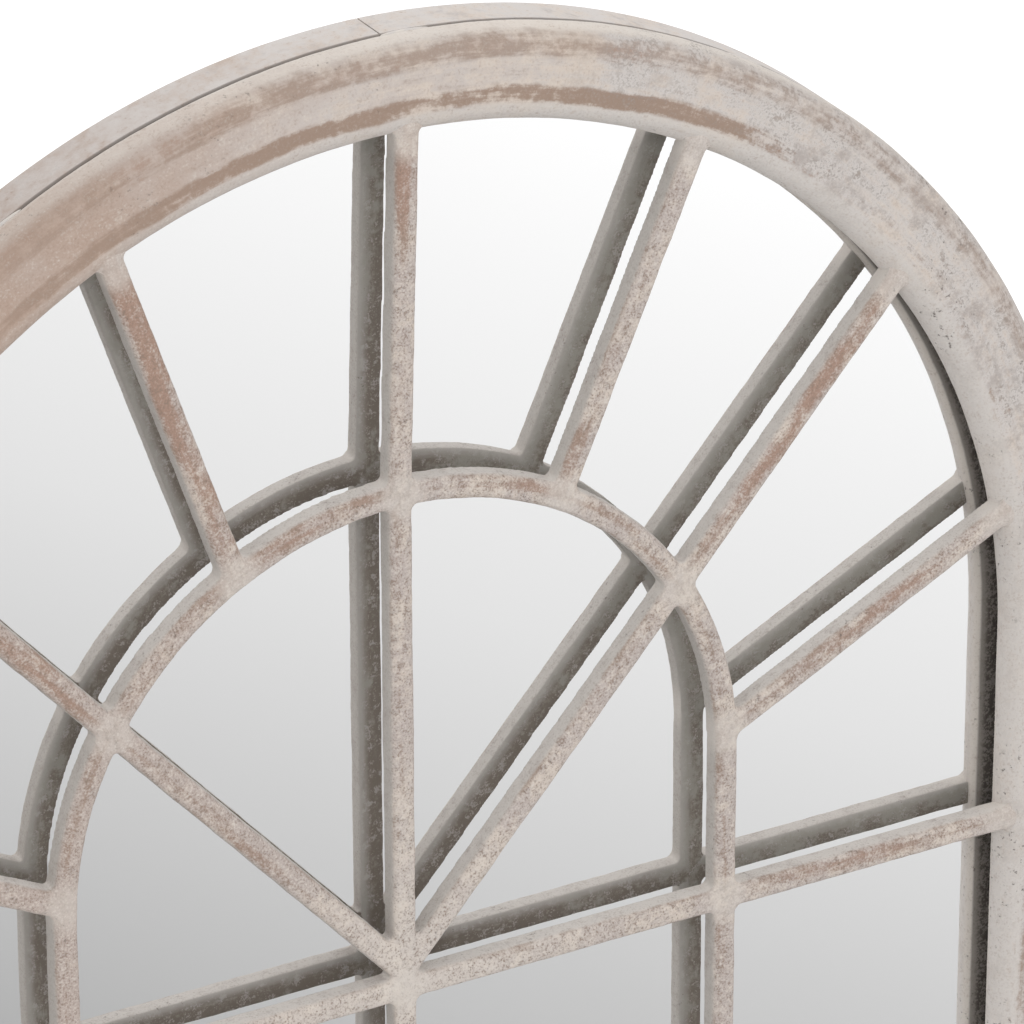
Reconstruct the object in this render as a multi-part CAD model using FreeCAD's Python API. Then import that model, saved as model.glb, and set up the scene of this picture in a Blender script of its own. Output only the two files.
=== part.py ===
import FreeCAD, Part
import math
import os

# Arched window-style garden mirror: a welded steel frame with a glazing-bar
# grille, a single mirror pane dropped in from behind, a backing board and
# turn buttons that hold the board in.
#
# Millimetres. X to the right, Y into the wall, Z up. The back of the rim is
# the plane Y = 0 and the mirror faces -Y. Z = 0 is the level of the upper
# transom and of the two keyhole hangers.

# Overall size
OVERALL_WIDTH = 750.0
OVERALL_HEIGHT = 1400.0
ARCH_CENTRE_Z = 99.0

# Front moulding, a flattened tube with a bullnose towards the glass
MOULDING_WIDTH = 45.0
MOULDING_DEPTH = 17.5
MOULDING_WALL = 1.5
NOSE_RADIUS = 12.0
SHOULDER_RADIUS = 6.0

# Back rim, a flat strip on edge behind the moulding
RIM_DEPTH = 22.5
RIM_WALL = 3.0
GROOVE_CHAMFER = 1.2
RIM_JOINT_GAP = 0.8

# Tack welds that bridge the groove between rim and moulding
TACK_LENGTH = 24.0
TACK_CROWN = 0.4
ARCH_TACK_ANGLES = (60.0, 88.2, 120.0)
LEG_TACK_SHARES = (0.2, 0.55, 0.9)
BOTTOM_TACK_SHARES = (-0.6, 0.6)

# Glazing bars
BAR_WIDTH = 11.2
BAR_DEPTH = 10.5
BAR_EDGE_RADIUS = 2.8
BAR_BACK_RADIUS = 1.0
BAR_GLASS_GAP = 10.4

# Grille layout
INNER_ARCH_SHARE = 0.5258
INNER_ARCH_CENTRE_Z = 81.5
PANE_ROWS = 3
MULLION_LEAN = 1.8
DIAGONAL_ANGLE = 48.2
DIAGONAL_HEIGHT = 9.0

# Outer spokes: angle above the right-hand horizontal, and the height at
# which the spoke's line would cross the middle of the mirror, as a share
# of the inner arch's radius
SPOKE_ANGLES = {
    "spoke_right_steep": 66.3,
    "spoke_right_middle": 48.5,
    "spoke_right_low": 26.5,
    "spoke_left_low": 153.8,
    "spoke_left_middle": 131.6,
    "spoke_left_steep": 109.0,
}
SPOKE_HEIGHT_SHARES = {
    "spoke_right_steep": 0.248,
    "spoke_right_middle": 0.035,
    "spoke_right_low": 0.020,
    "spoke_left_low": 0.035,
    "spoke_left_middle": 0.043,
    "spoke_left_steep": -0.046,
}

# Weld fillets in the corners of the grille
WELD_REACH = 6.5
WELD_SINK = 1.5

# Glazing, from the front: gasket, glass, board
GASKET_THICKNESS = 6.3
GASKET_WIDTH = 12.0
GASKET_INSET = 2.0
GLASS_THICKNESS = 4.0
BOARD_THICKNESS = 3.0
GLASS_MARGIN = 16.0

# Turn buttons on welded blocks
BLOCK_LENGTH = 13.5
BLOCK_WIDTH = 14.0
BLOCK_OVERRUN = 1.5
BUTTON_REACH = 24.0
BUTTON_WIDTH = 12.0
BUTTON_THICKNESS = 1.5
BUTTON_CLEARANCE = 0.3
SCREW_RADIUS = 2.0
SCREW_GRIP = 9.0
SCREW_HEAD_RADIUS = 4.0
SCREW_HEAD_HEIGHT = 2.5
SCREW_HEAD_ROUND = 1.0
SCREW_SLOT_WIDTH = 1.0
SCREW_SLOT_DEPTH = 1.2
PIVOT_CLEARANCE = 0.05
LEG_BUTTON_SHARES = (0.34, 0.78)
ARCH_BUTTON_ANGLES = (55.0, 125.0)
BOTTOM_BUTTON_SHARES = (-0.5, 0.5)

# Keyhole hangers
HANGER_LENGTH = 27.0
HANGER_HEIGHT = 46.0
HANGER_THICKNESS = 2.0
HANGER_CORNER = 4.0
KEYHOLE_INSET = 17.0
KEYHOLE_RADIUS = 5.25
KEYHOLE_SLOT_WIDTH = 5.5
KEYHOLE_SLOT_RISE = 12.0

# Places worked out from the sizes above
HALF_WIDTH = OVERALL_WIDTH / 2
BOTTOM_Z = ARCH_CENTRE_Z + HALF_WIDTH - OVERALL_HEIGHT
LEG_LENGTH = ARCH_CENTRE_Z - BOTTOM_Z
LEG_TACK_LEVELS = [ARCH_CENTRE_Z - share * LEG_LENGTH for share in LEG_TACK_SHARES]
LEG_BUTTON_LEVELS = [ARCH_CENTRE_Z - share * LEG_LENGTH for share in LEG_BUTTON_SHARES]
BOTTOM_TACK_PLACES = [share * HALF_WIDTH for share in BOTTOM_TACK_SHARES]
BOTTOM_BUTTON_PLACES = [share * HALF_WIDTH for share in BOTTOM_BUTTON_SHARES]
KEYHOLE_X = HALF_WIDTH - KEYHOLE_INSET
LIP_RADIUS = HALF_WIDTH - MOULDING_WIDTH
INNER_ARCH_RADIUS = INNER_ARCH_SHARE * LIP_RADIUS
LIP_BOTTOM_Z = BOTTOM_Z + MOULDING_WIDTH
SEAT_DEPTH = NOSE_RADIUS
RIM_INNER = HALF_WIDTH - RIM_WALL
SEAM_Y = -RIM_DEPTH
FRONT_Y = SEAM_Y - MOULDING_DEPTH
GLASS_FRONT_Y = SEAM_Y + GASKET_THICKNESS
GLASS_BACK_Y = GLASS_FRONT_Y + GLASS_THICKNESS
BOARD_BACK_Y = GLASS_BACK_Y + BOARD_THICKNESS
BAR_BACK_Y = GLASS_FRONT_Y - BAR_GLASS_GAP
BAR_FRONT_Y = BAR_BACK_Y - BAR_DEPTH
HALF_BAR = BAR_WIDTH / 2
GLASS_INSET = RIM_WALL + GLASS_MARGIN
PIVOT_INSET = RIM_WALL + BLOCK_LENGTH / 2
BUTTON_FRONT_Y = BOARD_BACK_Y + BUTTON_CLEARANCE
BUTTON_BACK_Y = BUTTON_FRONT_Y + BUTTON_THICKNESS
ROW_PITCH = LIP_BOTTOM_Z / PANE_ROWS
TRANSOM_LEVELS = [ROW_PITCH * row for row in range(PANE_ROWS)]
TRANSOM_NAMES = ("upper", "middle", "lower")
MARGIN = 60.0

ORIGIN = FreeCAD.Vector(0, 0, 0)
DEPTH_AXIS = FreeCAD.Vector(0, 1, 0)
FORWARD_AXIS = FreeCAD.Vector(0, -1, 0)
SIDE_AXIS = FreeCAD.Vector(1, 0, 0)


def vec(x, y, z):
    return FreeCAD.Vector(x, y, z)


def flat_line(start, end):
    """A straight edge between two (x, y) points of a section at z = 0."""
    return Part.makeLine(vec(start[0], start[1], 0), vec(end[0], end[1], 0))


def flat_arc(centre, radius, start_deg, end_deg):
    """An arc edge of a section at z = 0, through its own middle point."""
    points = []
    for angle in (start_deg, (start_deg + end_deg) / 2, end_deg):
        turn = math.radians(angle)
        x = centre[0] + radius * math.cos(turn)
        y = centre[1] + radius * math.sin(turn)
        points.append(vec(x, y, 0))
    return Part.Arc(*points).toShape()


def face_of(edges):
    return Part.Face(Part.Wire(edges))


def largest_solid(shape):
    return max(shape.Solids, key=lambda solid: solid.Volume)


def write_node(name, shape):
    shape.exportStep("parts/" + name + ".step")


# Sections


def moulding_section(hollow):
    """Moulding section on the right: X is the distance from the arch's axis."""
    lip = LIP_RADIUS
    edge = HALF_WIDTH
    nose_back = MOULDING_DEPTH - NOSE_RADIUS
    nose_y = SEAM_Y - nose_back
    shoulder_x = edge - SHOULDER_RADIUS
    shoulder_y = FRONT_Y + SHOULDER_RADIUS
    edges = [
        flat_arc((lip + nose_back, nose_y), nose_back, 90, 180),
        flat_arc((lip + NOSE_RADIUS, nose_y), NOSE_RADIUS, 180, 270),
        flat_line((lip + NOSE_RADIUS, FRONT_Y), (shoulder_x, FRONT_Y)),
        flat_arc((shoulder_x, shoulder_y), SHOULDER_RADIUS, 270, 360),
        flat_line((edge, shoulder_y), (edge, SEAM_Y - GROOVE_CHAMFER)),
        flat_line((edge, SEAM_Y - GROOVE_CHAMFER), (edge - GROOVE_CHAMFER, SEAM_Y)),
        flat_line((edge - GROOVE_CHAMFER, SEAM_Y), (lip + nose_back, SEAM_Y)),
    ]
    outer = face_of(edges)
    if not hollow:
        return outer
    inner = outer.makeOffset2D(-MOULDING_WALL)
    return outer.cut(inner).Faces[0]


def rim_section():
    """Rim strip on the right, chamfered where it meets the moulding."""
    corners = [
        (RIM_INNER, 0),
        (RIM_INNER, SEAM_Y),
        (HALF_WIDTH - GROOVE_CHAMFER, SEAM_Y),
        (HALF_WIDTH, SEAM_Y + GROOVE_CHAMFER),
        (HALF_WIDTH, 0),
    ]
    closed = corners + corners[:1]
    return Part.Face(Part.makePolygon([vec(x, y, 0) for x, y in closed]))


def groove_section():
    """What a tack weld fills: the groove, with a slight crown outside."""
    corners = [
        (HALF_WIDTH - GROOVE_CHAMFER, SEAM_Y),
        (HALF_WIDTH, SEAM_Y - GROOVE_CHAMFER),
        (HALF_WIDTH + TACK_CROWN, SEAM_Y),
        (HALF_WIDTH, SEAM_Y + GROOVE_CHAMFER),
    ]
    closed = corners + corners[:1]
    return Part.Face(Part.makePolygon([vec(x, y, 0) for x, y in closed]))


def bar_section():
    """Glazing bar section centred on X = 0, rounded more at the front."""
    half = HALF_BAR
    front = BAR_EDGE_RADIUS
    back = BAR_BACK_RADIUS
    edges = [
        flat_line((-half + front, BAR_FRONT_Y), (half - front, BAR_FRONT_Y)),
        flat_arc((half - front, BAR_FRONT_Y + front), front, 270, 360),
        flat_line((half, BAR_FRONT_Y + front), (half, BAR_BACK_Y - back)),
        flat_arc((half - back, BAR_BACK_Y - back), back, 0, 90),
        flat_line((half - back, BAR_BACK_Y), (-half + back, BAR_BACK_Y)),
        flat_arc((-half + back, BAR_BACK_Y - back), back, 90, 180),
        flat_line((-half, BAR_BACK_Y - back), (-half, BAR_FRONT_Y + front)),
        flat_arc((-half + front, BAR_FRONT_Y + front), front, 180, 270),
    ]
    return face_of(edges)


# Sweeps


def bend(section, centre_z, start_deg, sweep_deg):
    """Sweep a right-hand section round an arch, anticlockwise from start_deg."""
    centre = vec(0, 0, centre_z)
    face = section.translated(centre)
    face.rotate(centre, FORWARD_AXIS, start_deg)
    return face.revolve(centre, FORWARD_AXIS, sweep_deg)


def upright(section, low_z, high_z):
    """Extrude a right-hand section straight up."""
    face = section.translated(vec(0, 0, low_z))
    return face.extrude(vec(0, 0, high_z - low_z))


def bottom_run(section, half_length):
    """Lay a right-hand section along the bottom edge of the mirror."""
    face = section.copy()
    face.rotate(ORIGIN, DEPTH_AXIS, 90)
    face.translate(vec(-half_length, 0, BOTTOM_Z + HALF_WIDTH))
    return face.extrude(vec(2 * half_length, 0, 0))


def mirrored(shape):
    return shape.mirror(ORIGIN, SIDE_AXIS)


def straight_bar(start, end):
    """A glazing bar between two (x, z) points."""
    run_x = end[0] - start[0]
    run_z = end[1] - start[1]
    length = math.hypot(run_x, run_z)
    bar = bar_section().extrude(vec(0, 0, length))
    bar.rotate(ORIGIN, DEPTH_AXIS, math.degrees(math.atan2(run_x, run_z)))
    bar.translate(vec(start[0], 0, start[1]))
    return bar


def coped(bar, neighbours):
    """Shape a bar's ends to the pieces that it butts on."""
    return largest_solid(bar.cut(neighbours))


# Frame


def corner_wedge():
    """Everything below the mitre line of the lower right corner."""
    far_x = HALF_WIDTH + MARGIN
    low_z = BOTTOM_Z - MARGIN
    corners = [(far_x, low_z), (-far_x, low_z), (-far_x, low_z + 2 * far_x)]
    closed = corners + corners[:1]
    face = Part.Face(Part.makePolygon([vec(x, FRONT_Y - MARGIN, z) for x, z in closed]))
    return face.extrude(vec(0, 2 * MARGIN - FRONT_Y, 0))


def make_mouldings(hollow):
    """Arch, two sides and a bottom rail, mitred at the lower corners."""
    section = moulding_section(hollow)
    arch = bend(section, ARCH_CENTRE_Z, 0, 180)
    wedge = corner_wedge()
    right = upright(section, BOTTOM_Z - MARGIN, ARCH_CENTRE_Z).cut(wedge)
    bottom = bottom_run(section, HALF_WIDTH).common([wedge]).common([mirrored(wedge)])
    return {
        "front_arch_moulding": largest_solid(arch),
        "front_right_moulding": largest_solid(right),
        "front_left_moulding": largest_solid(mirrored(right)),
        "front_bottom_moulding": largest_solid(bottom),
    }


def make_rims():
    """Two bent side strips that meet at the top, and a bottom strip."""
    section = rim_section()
    joint_angle = math.degrees(RIM_JOINT_GAP / 2 / HALF_WIDTH)
    quarter = bend(section, ARCH_CENTRE_Z, 0, 90 - joint_angle)
    side = upright(section, BOTTOM_Z, ARCH_CENTRE_Z)
    right = quarter.fuse(side).removeSplitter()
    bottom = bottom_run(section, RIM_INNER)
    return {
        "back_rim_right": largest_solid(right),
        "back_rim_left": largest_solid(mirrored(right)),
        "back_rim_bottom": largest_solid(bottom),
    }


def make_tacks():
    """Short welds in the groove, round the arch and down the sides."""
    section = groove_section()
    tacks = []
    arc_deg = math.degrees(TACK_LENGTH / HALF_WIDTH)
    for angle in ARCH_TACK_ANGLES:
        tacks.append(bend(section, ARCH_CENTRE_Z, angle - arc_deg / 2, arc_deg))
    for level in LEG_TACK_LEVELS:
        tack = upright(section, level - TACK_LENGTH / 2, level + TACK_LENGTH / 2)
        tacks += [tack, mirrored(tack)]
    for place in BOTTOM_TACK_PLACES:
        tack = bottom_run(section, TACK_LENGTH / 2)
        tacks.append(tack.translated(vec(place, 0, 0)))
    return Part.makeCompound(tacks)


# Grille


def line_at(angle_deg, height):
    """Direction and base point of a line that crosses X = 0 at a height."""
    turn = math.radians(angle_deg)
    return (math.cos(turn), math.sin(turn)), (0.0, height)


def meet_circle(angle_deg, height, radius, centre_z):
    """Where such a line leaves a circle about (0, centre_z)."""
    run, base = line_at(angle_deg, height)
    drop = base[1] - centre_z
    along = run[1] * drop
    reach = -along + math.sqrt(along ** 2 - drop ** 2 + radius ** 2)
    return base[0] + run[0] * reach, base[1] + run[1] * reach


def make_verticals(frame):
    """Inner arch with its two legs, and the mullion above and below it."""
    arch_top = INNER_ARCH_CENTRE_Z + INNER_ARCH_RADIUS
    seat_bottom = LIP_BOTTOM_Z - SEAT_DEPTH
    seat_top = ARCH_CENTRE_Z + LIP_RADIUS + SEAT_DEPTH
    inner_arch = bend(
        bar_section().translated(vec(INNER_ARCH_RADIUS, 0, 0)), INNER_ARCH_CENTRE_Z, 0, 180
    )
    leg = straight_bar(
        (INNER_ARCH_RADIUS, seat_bottom), (INNER_ARCH_RADIUS, INNER_ARCH_CENTRE_Z)
    )
    leg = coped(leg, [frame["front_bottom_moulding"]])
    lean = math.tan(math.radians(MULLION_LEAN)) * (seat_top - arch_top)
    upper = straight_bar((0, arch_top), (lean, seat_top))
    lower = straight_bar((0, seat_bottom), (0, arch_top))
    return {
        "inner_arch_bar": largest_solid(inner_arch),
        "right_leg_bar": leg,
        "left_leg_bar": largest_solid(mirrored(leg)),
        "upper_mullion": coped(upper, [inner_arch, frame["front_arch_moulding"]]),
        "lower_mullion": coped(lower, [inner_arch, frame["front_bottom_moulding"]]),
    }


def make_transoms(frame, verticals):
    """Short rails between the uprights, level by level."""
    columns = [
        ("far_left", -LIP_RADIUS - SEAT_DEPTH, -INNER_ARCH_RADIUS),
        ("near_left", -INNER_ARCH_RADIUS, 0.0),
        ("near_right", 0.0, INNER_ARCH_RADIUS),
        ("far_right", INNER_ARCH_RADIUS, LIP_RADIUS + SEAT_DEPTH),
    ]
    uprights = [
        frame["front_left_moulding"],
        frame["front_right_moulding"],
        verticals["left_leg_bar"],
        verticals["right_leg_bar"],
        verticals["lower_mullion"],
    ]
    rails = {}
    for level_name, level in zip(TRANSOM_NAMES, TRANSOM_LEVELS):
        for column_name, start_x, end_x in columns:
            bar = straight_bar((start_x, level), (end_x, level))
            rails["transom_" + level_name + "_" + column_name] = coped(bar, uprights)
    return rails


def make_diagonals(verticals, rails):
    """Two bars from the hub out to the inner arch."""
    neighbours = [
        verticals["inner_arch_bar"],
        verticals["lower_mullion"],
        rails["transom_upper_near_left"],
        rails["transom_upper_near_right"],
    ]
    bars = {}
    for name, angle in (("right", DIAGONAL_ANGLE), ("left", 180 - DIAGONAL_ANGLE)):
        end = meet_circle(angle, DIAGONAL_HEIGHT, INNER_ARCH_RADIUS, INNER_ARCH_CENTRE_Z)
        bars["diagonal_" + name] = coped(straight_bar((0, DIAGONAL_HEIGHT), end), neighbours)
    return bars


def make_spokes(frame, verticals):
    """Bars from the inner arch out to the frame."""
    neighbours = [
        verticals["inner_arch_bar"],
        verticals["left_leg_bar"],
        verticals["right_leg_bar"],
        frame["front_arch_moulding"],
    ]
    bars = {}
    for name, angle in SPOKE_ANGLES.items():
        height = SPOKE_HEIGHT_SHARES[name] * INNER_ARCH_RADIUS
        start = meet_circle(angle, height, INNER_ARCH_RADIUS, INNER_ARCH_CENTRE_Z)
        end = meet_circle(angle, height, LIP_RADIUS + SEAT_DEPTH, ARCH_CENTRE_Z)
        bars[name] = coped(straight_bar(start, end), neighbours)
    return bars


# Weld fillets


def weld_fillet(corner, first_deg, second_deg, neighbours):
    """A concave fillet between two directions that leave one corner."""
    first = math.radians(first_deg)
    second = math.radians(second_deg)
    half = (second - first) / 2
    middle = (first + second) / 2
    radius = WELD_REACH * math.tan(half)
    centre_distance = WELD_REACH / math.cos(half)

    def place(angle, distance, sideways=0.0):
        x = corner[0] + distance * math.cos(angle) - sideways * math.sin(angle)
        z = corner[1] + distance * math.sin(angle) + sideways * math.cos(angle)
        return vec(x, BAR_BACK_Y - BAR_BACK_RADIUS, z)

    start = place(first, WELD_REACH)
    end = place(second, WELD_REACH)
    heel = [
        end,
        place(second, WELD_REACH, WELD_SINK),
        place(middle, -WELD_SINK / math.sin(half)),
        place(first, WELD_REACH, -WELD_SINK),
        start,
    ]
    curve = Part.Arc(start, place(middle, centre_distance - radius), end).toShape()
    face = face_of([curve] + Part.makePolygon(heel).Edges)
    depth = BAR_DEPTH - BAR_EDGE_RADIUS - BAR_BACK_RADIUS
    return largest_solid(face.extrude(vec(0, -depth, 0)).cut(neighbours))


def edge_corner(first_base, first_deg, first_side, second_base, second_deg, second_side):
    """Where the edge of one bar meets the edge of another, in the XZ plane."""
    first = math.radians(first_deg)
    second = math.radians(second_deg)
    ax = first_base[0] - first_side * HALF_BAR * math.sin(first)
    az = first_base[1] + first_side * HALF_BAR * math.cos(first)
    bx = second_base[0] - second_side * HALF_BAR * math.sin(second)
    bz = second_base[1] + second_side * HALF_BAR * math.cos(second)
    cross = math.cos(first) * math.sin(second) - math.sin(first) * math.cos(second)
    along = ((bx - ax) * math.sin(second) - (bz - az) * math.cos(second)) / cross
    return ax + along * math.cos(first), az + along * math.sin(first)


def butt_welds(base, bar_deg, onto_deg, onto_offset, neighbours):
    """Both fillets where a bar that leaves along bar_deg butts on an edge.

    The edge runs along onto_deg, which points to the right of the bar, and
    lies onto_offset from the base point, on the side that the bar leaves by.
    """
    onto = math.radians(onto_deg)
    away = 1 if math.sin(math.radians(bar_deg - onto_deg)) > 0 else -1
    edge_x = base[0] - away * (onto_offset - HALF_BAR) * math.sin(onto)
    edge_z = base[1] + away * (onto_offset - HALF_BAR) * math.cos(onto)
    edge = (edge_x, edge_z)
    right = edge_corner(edge, onto_deg, away, base, bar_deg, -1)
    left = edge_corner(edge, onto_deg, away, base, bar_deg, 1)
    return [
        weld_fillet(right, onto_deg, bar_deg, neighbours),
        weld_fillet(left, bar_deg, onto_deg + 180, neighbours),
    ]


def spoke_welds(frame, verticals, spokes):
    """Welds at both ends of each spoke."""
    inner_names = ("inner_arch_bar", "left_leg_bar", "right_leg_bar")
    inner_seat = [verticals[name] for name in inner_names]
    outer_seat = [frame["front_arch_moulding"]]
    welds = []
    for name, angle in SPOKE_ANGLES.items():
        bar = spokes[name]
        height = SPOKE_HEIGHT_SHARES[name] * INNER_ARCH_RADIUS
        inner = meet_circle(angle, height, INNER_ARCH_RADIUS, INNER_ARCH_CENTRE_Z)
        outer = meet_circle(angle, height, LIP_RADIUS, ARCH_CENTRE_Z)
        inner_tangent = math.degrees(math.atan2(inner[1] - INNER_ARCH_CENTRE_Z, inner[0])) - 90
        outer_tangent = math.degrees(math.atan2(outer[1] - ARCH_CENTRE_Z, outer[0])) + 90
        welds += butt_welds(inner, angle, inner_tangent, HALF_BAR, [bar] + inner_seat)
        welds += butt_welds(outer, angle + 180, outer_tangent, 0.0, [bar] + outer_seat)
    return welds


def mullion_welds(frame, verticals):
    """Welds at the ends of the two mullions and the feet of the legs."""
    arch_top = (0.0, INNER_ARCH_CENTRE_Z + INNER_ARCH_RADIUS)
    frame_top = ARCH_CENTRE_Z + LIP_RADIUS
    lean = math.tan(math.radians(MULLION_LEAN)) * (frame_top - arch_top[1])
    upper = verticals["upper_mullion"]
    lower = verticals["lower_mullion"]
    arch = verticals["inner_arch_bar"]
    top_moulding = frame["front_arch_moulding"]
    bottom_moulding = frame["front_bottom_moulding"]
    lean_deg = 90 - MULLION_LEAN
    welds = butt_welds(arch_top, lean_deg, 0, HALF_BAR, [upper, arch])
    welds += butt_welds((lean, frame_top), lean_deg + 180, 180, 0.0, [upper, top_moulding])
    welds += butt_welds(arch_top, 270, 180, HALF_BAR, [lower, arch])
    feet = {0.0: lower, INNER_ARCH_RADIUS: verticals["right_leg_bar"]}
    feet[-INNER_ARCH_RADIUS] = verticals["left_leg_bar"]
    for x, bar in feet.items():
        welds += butt_welds((x, LIP_BOTTOM_Z), 90, 0, 0.0, [bar, bottom_moulding])
    return welds


def transom_welds(frame, verticals, rails, diagonals):
    """Welds where the rails butt on the uprights and on the frame."""
    uprights = {
        -INNER_ARCH_RADIUS: verticals["left_leg_bar"],
        0.0: verticals["lower_mullion"],
        INNER_ARCH_RADIUS: verticals["right_leg_bar"],
    }
    columns = ("far_left", "near_left", "near_right", "far_right")
    welds = []
    for level_name, level in zip(TRANSOM_NAMES, TRANSOM_LEVELS):
        row = [rails["transom_" + level_name + "_" + column] for column in columns]
        for place, (x, upright_bar) in enumerate(uprights.items()):
            for bar, run_deg in ((row[place], 180), (row[place + 1], 0)):
                pair = butt_welds((x, level), run_deg, run_deg - 90, HALF_BAR, [bar, upright_bar])
                at_hub = x == 0.0 and level == 0.0
                welds += hub_welds(pair, diagonals) if at_hub else pair
        for side, run_deg, moulding, bar in (
            (1, 180, frame["front_right_moulding"], row[3]),
            (-1, 0, frame["front_left_moulding"], row[0]),
        ):
            base = (side * LIP_RADIUS, level)
            welds += butt_welds(base, run_deg, run_deg - 90, 0.0, [bar, moulding])
    return welds


def hub_welds(pair, diagonals):
    """At the hub the diagonals take the upper corners, so the lower ones stay."""
    bars = list(diagonals.values())
    return [weld for weld in pair if weld.BoundBox.ZMax < 0 and not weld.common(bars).Volume]


def diagonal_welds(verticals, diagonals):
    """Welds at the arch end of each diagonal."""
    welds = []
    for name, angle in (("right", DIAGONAL_ANGLE), ("left", 180 - DIAGONAL_ANGLE)):
        bar = diagonals["diagonal_" + name]
        end = meet_circle(angle, DIAGONAL_HEIGHT, INNER_ARCH_RADIUS, INNER_ARCH_CENTRE_Z)
        tangent = math.degrees(math.atan2(end[1] - INNER_ARCH_CENTRE_Z, end[0])) + 90
        seat = [bar, verticals["inner_arch_bar"]]
        welds += butt_welds(end, angle + 180, tangent, HALF_BAR, seat)
    return welds


# Glazing and backing


def arched_face(inset):
    """The mirror's outline, drawn in by an inset all round, at Y = 0."""
    half = HALF_WIDTH - inset
    low_z = BOTTOM_Z + inset
    corners = [
        vec(-half, 0, ARCH_CENTRE_Z),
        vec(-half, 0, low_z),
        vec(half, 0, low_z),
        vec(half, 0, ARCH_CENTRE_Z),
    ]
    crown = vec(0, 0, ARCH_CENTRE_Z + half)
    arc = Part.Arc(corners[3], crown, corners[0]).toShape()
    return face_of(Part.makePolygon(corners).Edges + [arc])


def arched_sheet(inset, front_y, back_y):
    face = arched_face(inset).translated(vec(0, front_y, 0))
    return face.extrude(vec(0, back_y - front_y, 0))


def make_glazing():
    """Gasket on the back of the moulding, then the glass, then the board."""
    gasket_outer = GLASS_INSET + GASKET_INSET
    gasket = arched_sheet(gasket_outer, SEAM_Y, GLASS_FRONT_Y)
    hole = arched_sheet(gasket_outer + GASKET_WIDTH, SEAM_Y - MARGIN, GLASS_FRONT_Y + MARGIN)
    return {
        "glazing_gasket": largest_solid(gasket.cut(hole)),
        "mirror_glass": arched_sheet(GLASS_INSET, GLASS_FRONT_Y, GLASS_BACK_Y),
        "backing_board": arched_sheet(GLASS_INSET, GLASS_BACK_Y, BOARD_BACK_Y),
    }


# Turn buttons


def button_places():
    """(x, z, outward angle) of each turn button's pivot."""
    reach = HALF_WIDTH - PIVOT_INSET
    places = []
    for level in LEG_BUTTON_LEVELS:
        places += [(reach, level, 0.0), (-reach, level, 180.0)]
    for angle in ARCH_BUTTON_ANGLES:
        turn = math.radians(angle)
        places.append((reach * math.cos(turn), ARCH_CENTRE_Z + reach * math.sin(turn), angle))
    for place in BOTTOM_BUTTON_PLACES:
        places.append((place, BOTTOM_Z + PIVOT_INSET, -90.0))
    return places


def set_at(shape, place):
    """Turn a shape made about the Y axis, pointing along +X, and move it out."""
    x, z, angle = place
    shape.rotate(ORIGIN, FORWARD_AXIS, angle)
    shape.translate(vec(x, 0, z))
    return shape


def pivot_cylinder(radius, front_y, back_y):
    return Part.makeCylinder(radius, back_y - front_y, vec(0, front_y, 0), DEPTH_AXIS)


def turn_button():
    """A round-ended plate that points inwards from its pivot."""
    radius = BUTTON_WIDTH / 2
    span = BUTTON_REACH - radius
    blade = Part.makeBox(
        span, BUTTON_THICKNESS, BUTTON_WIDTH, vec(-span, BUTTON_FRONT_Y, -radius)
    )
    pivot_end = pivot_cylinder(radius, BUTTON_FRONT_Y, BUTTON_BACK_Y)
    tip_end = pivot_end.translated(vec(-span, 0, 0))
    plate = blade.fuse([pivot_end, tip_end]).removeSplitter()
    hole = pivot_cylinder(
        SCREW_RADIUS + PIVOT_CLEARANCE, BUTTON_FRONT_Y - MARGIN, BUTTON_BACK_Y + MARGIN
    )
    return largest_solid(plate.cut(hole))


def button_block():
    """A block on the back of the moulding, long enough to reach into the rim."""
    block = Part.makeBox(
        BLOCK_LENGTH + BLOCK_OVERRUN,
        BOARD_BACK_Y - SEAM_Y,
        BLOCK_WIDTH,
        vec(-BLOCK_LENGTH / 2, SEAM_Y, -BLOCK_WIDTH / 2),
    )
    return block.cut(pivot_cylinder(SCREW_RADIUS, BOARD_BACK_Y - SCREW_GRIP, BOARD_BACK_Y))


def pivot_screw():
    """A slotted round-head screw that leaves the button free to turn."""
    head_front = BUTTON_BACK_Y + BUTTON_CLEARANCE
    head_back = head_front + SCREW_HEAD_HEIGHT
    shank = pivot_cylinder(SCREW_RADIUS, BOARD_BACK_Y - SCREW_GRIP, head_front)
    head = pivot_cylinder(SCREW_HEAD_RADIUS, head_front, head_back)
    crown = [edge for edge in head.Edges if abs(edge.BoundBox.YMin - head_back) < 1e-6]
    head = head.makeFillet(SCREW_HEAD_ROUND, crown)
    slot = Part.makeBox(
        4 * SCREW_HEAD_RADIUS,
        2 * SCREW_SLOT_DEPTH,
        SCREW_SLOT_WIDTH,
        vec(-2 * SCREW_HEAD_RADIUS, head_back - SCREW_SLOT_DEPTH, -SCREW_SLOT_WIDTH / 2),
    )
    return largest_solid(shank.fuse(head.cut(slot)).removeSplitter())


def make_buttons(rims):
    """Turn buttons, each a node, with their blocks and screws as groups."""
    nodes = {}
    blocks = []
    screws = []
    for number, place in enumerate(button_places(), start=1):
        nodes["turn_button_" + str(number)] = set_at(turn_button(), place)
        blocks.append(coped(set_at(button_block(), place), list(rims.values())))
        screws.append(set_at(pivot_screw(), place))
    nodes["button_blocks"] = Part.makeCompound(blocks)
    nodes["pivot_screws"] = Part.makeCompound(screws)
    return nodes


# Hangers


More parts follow.
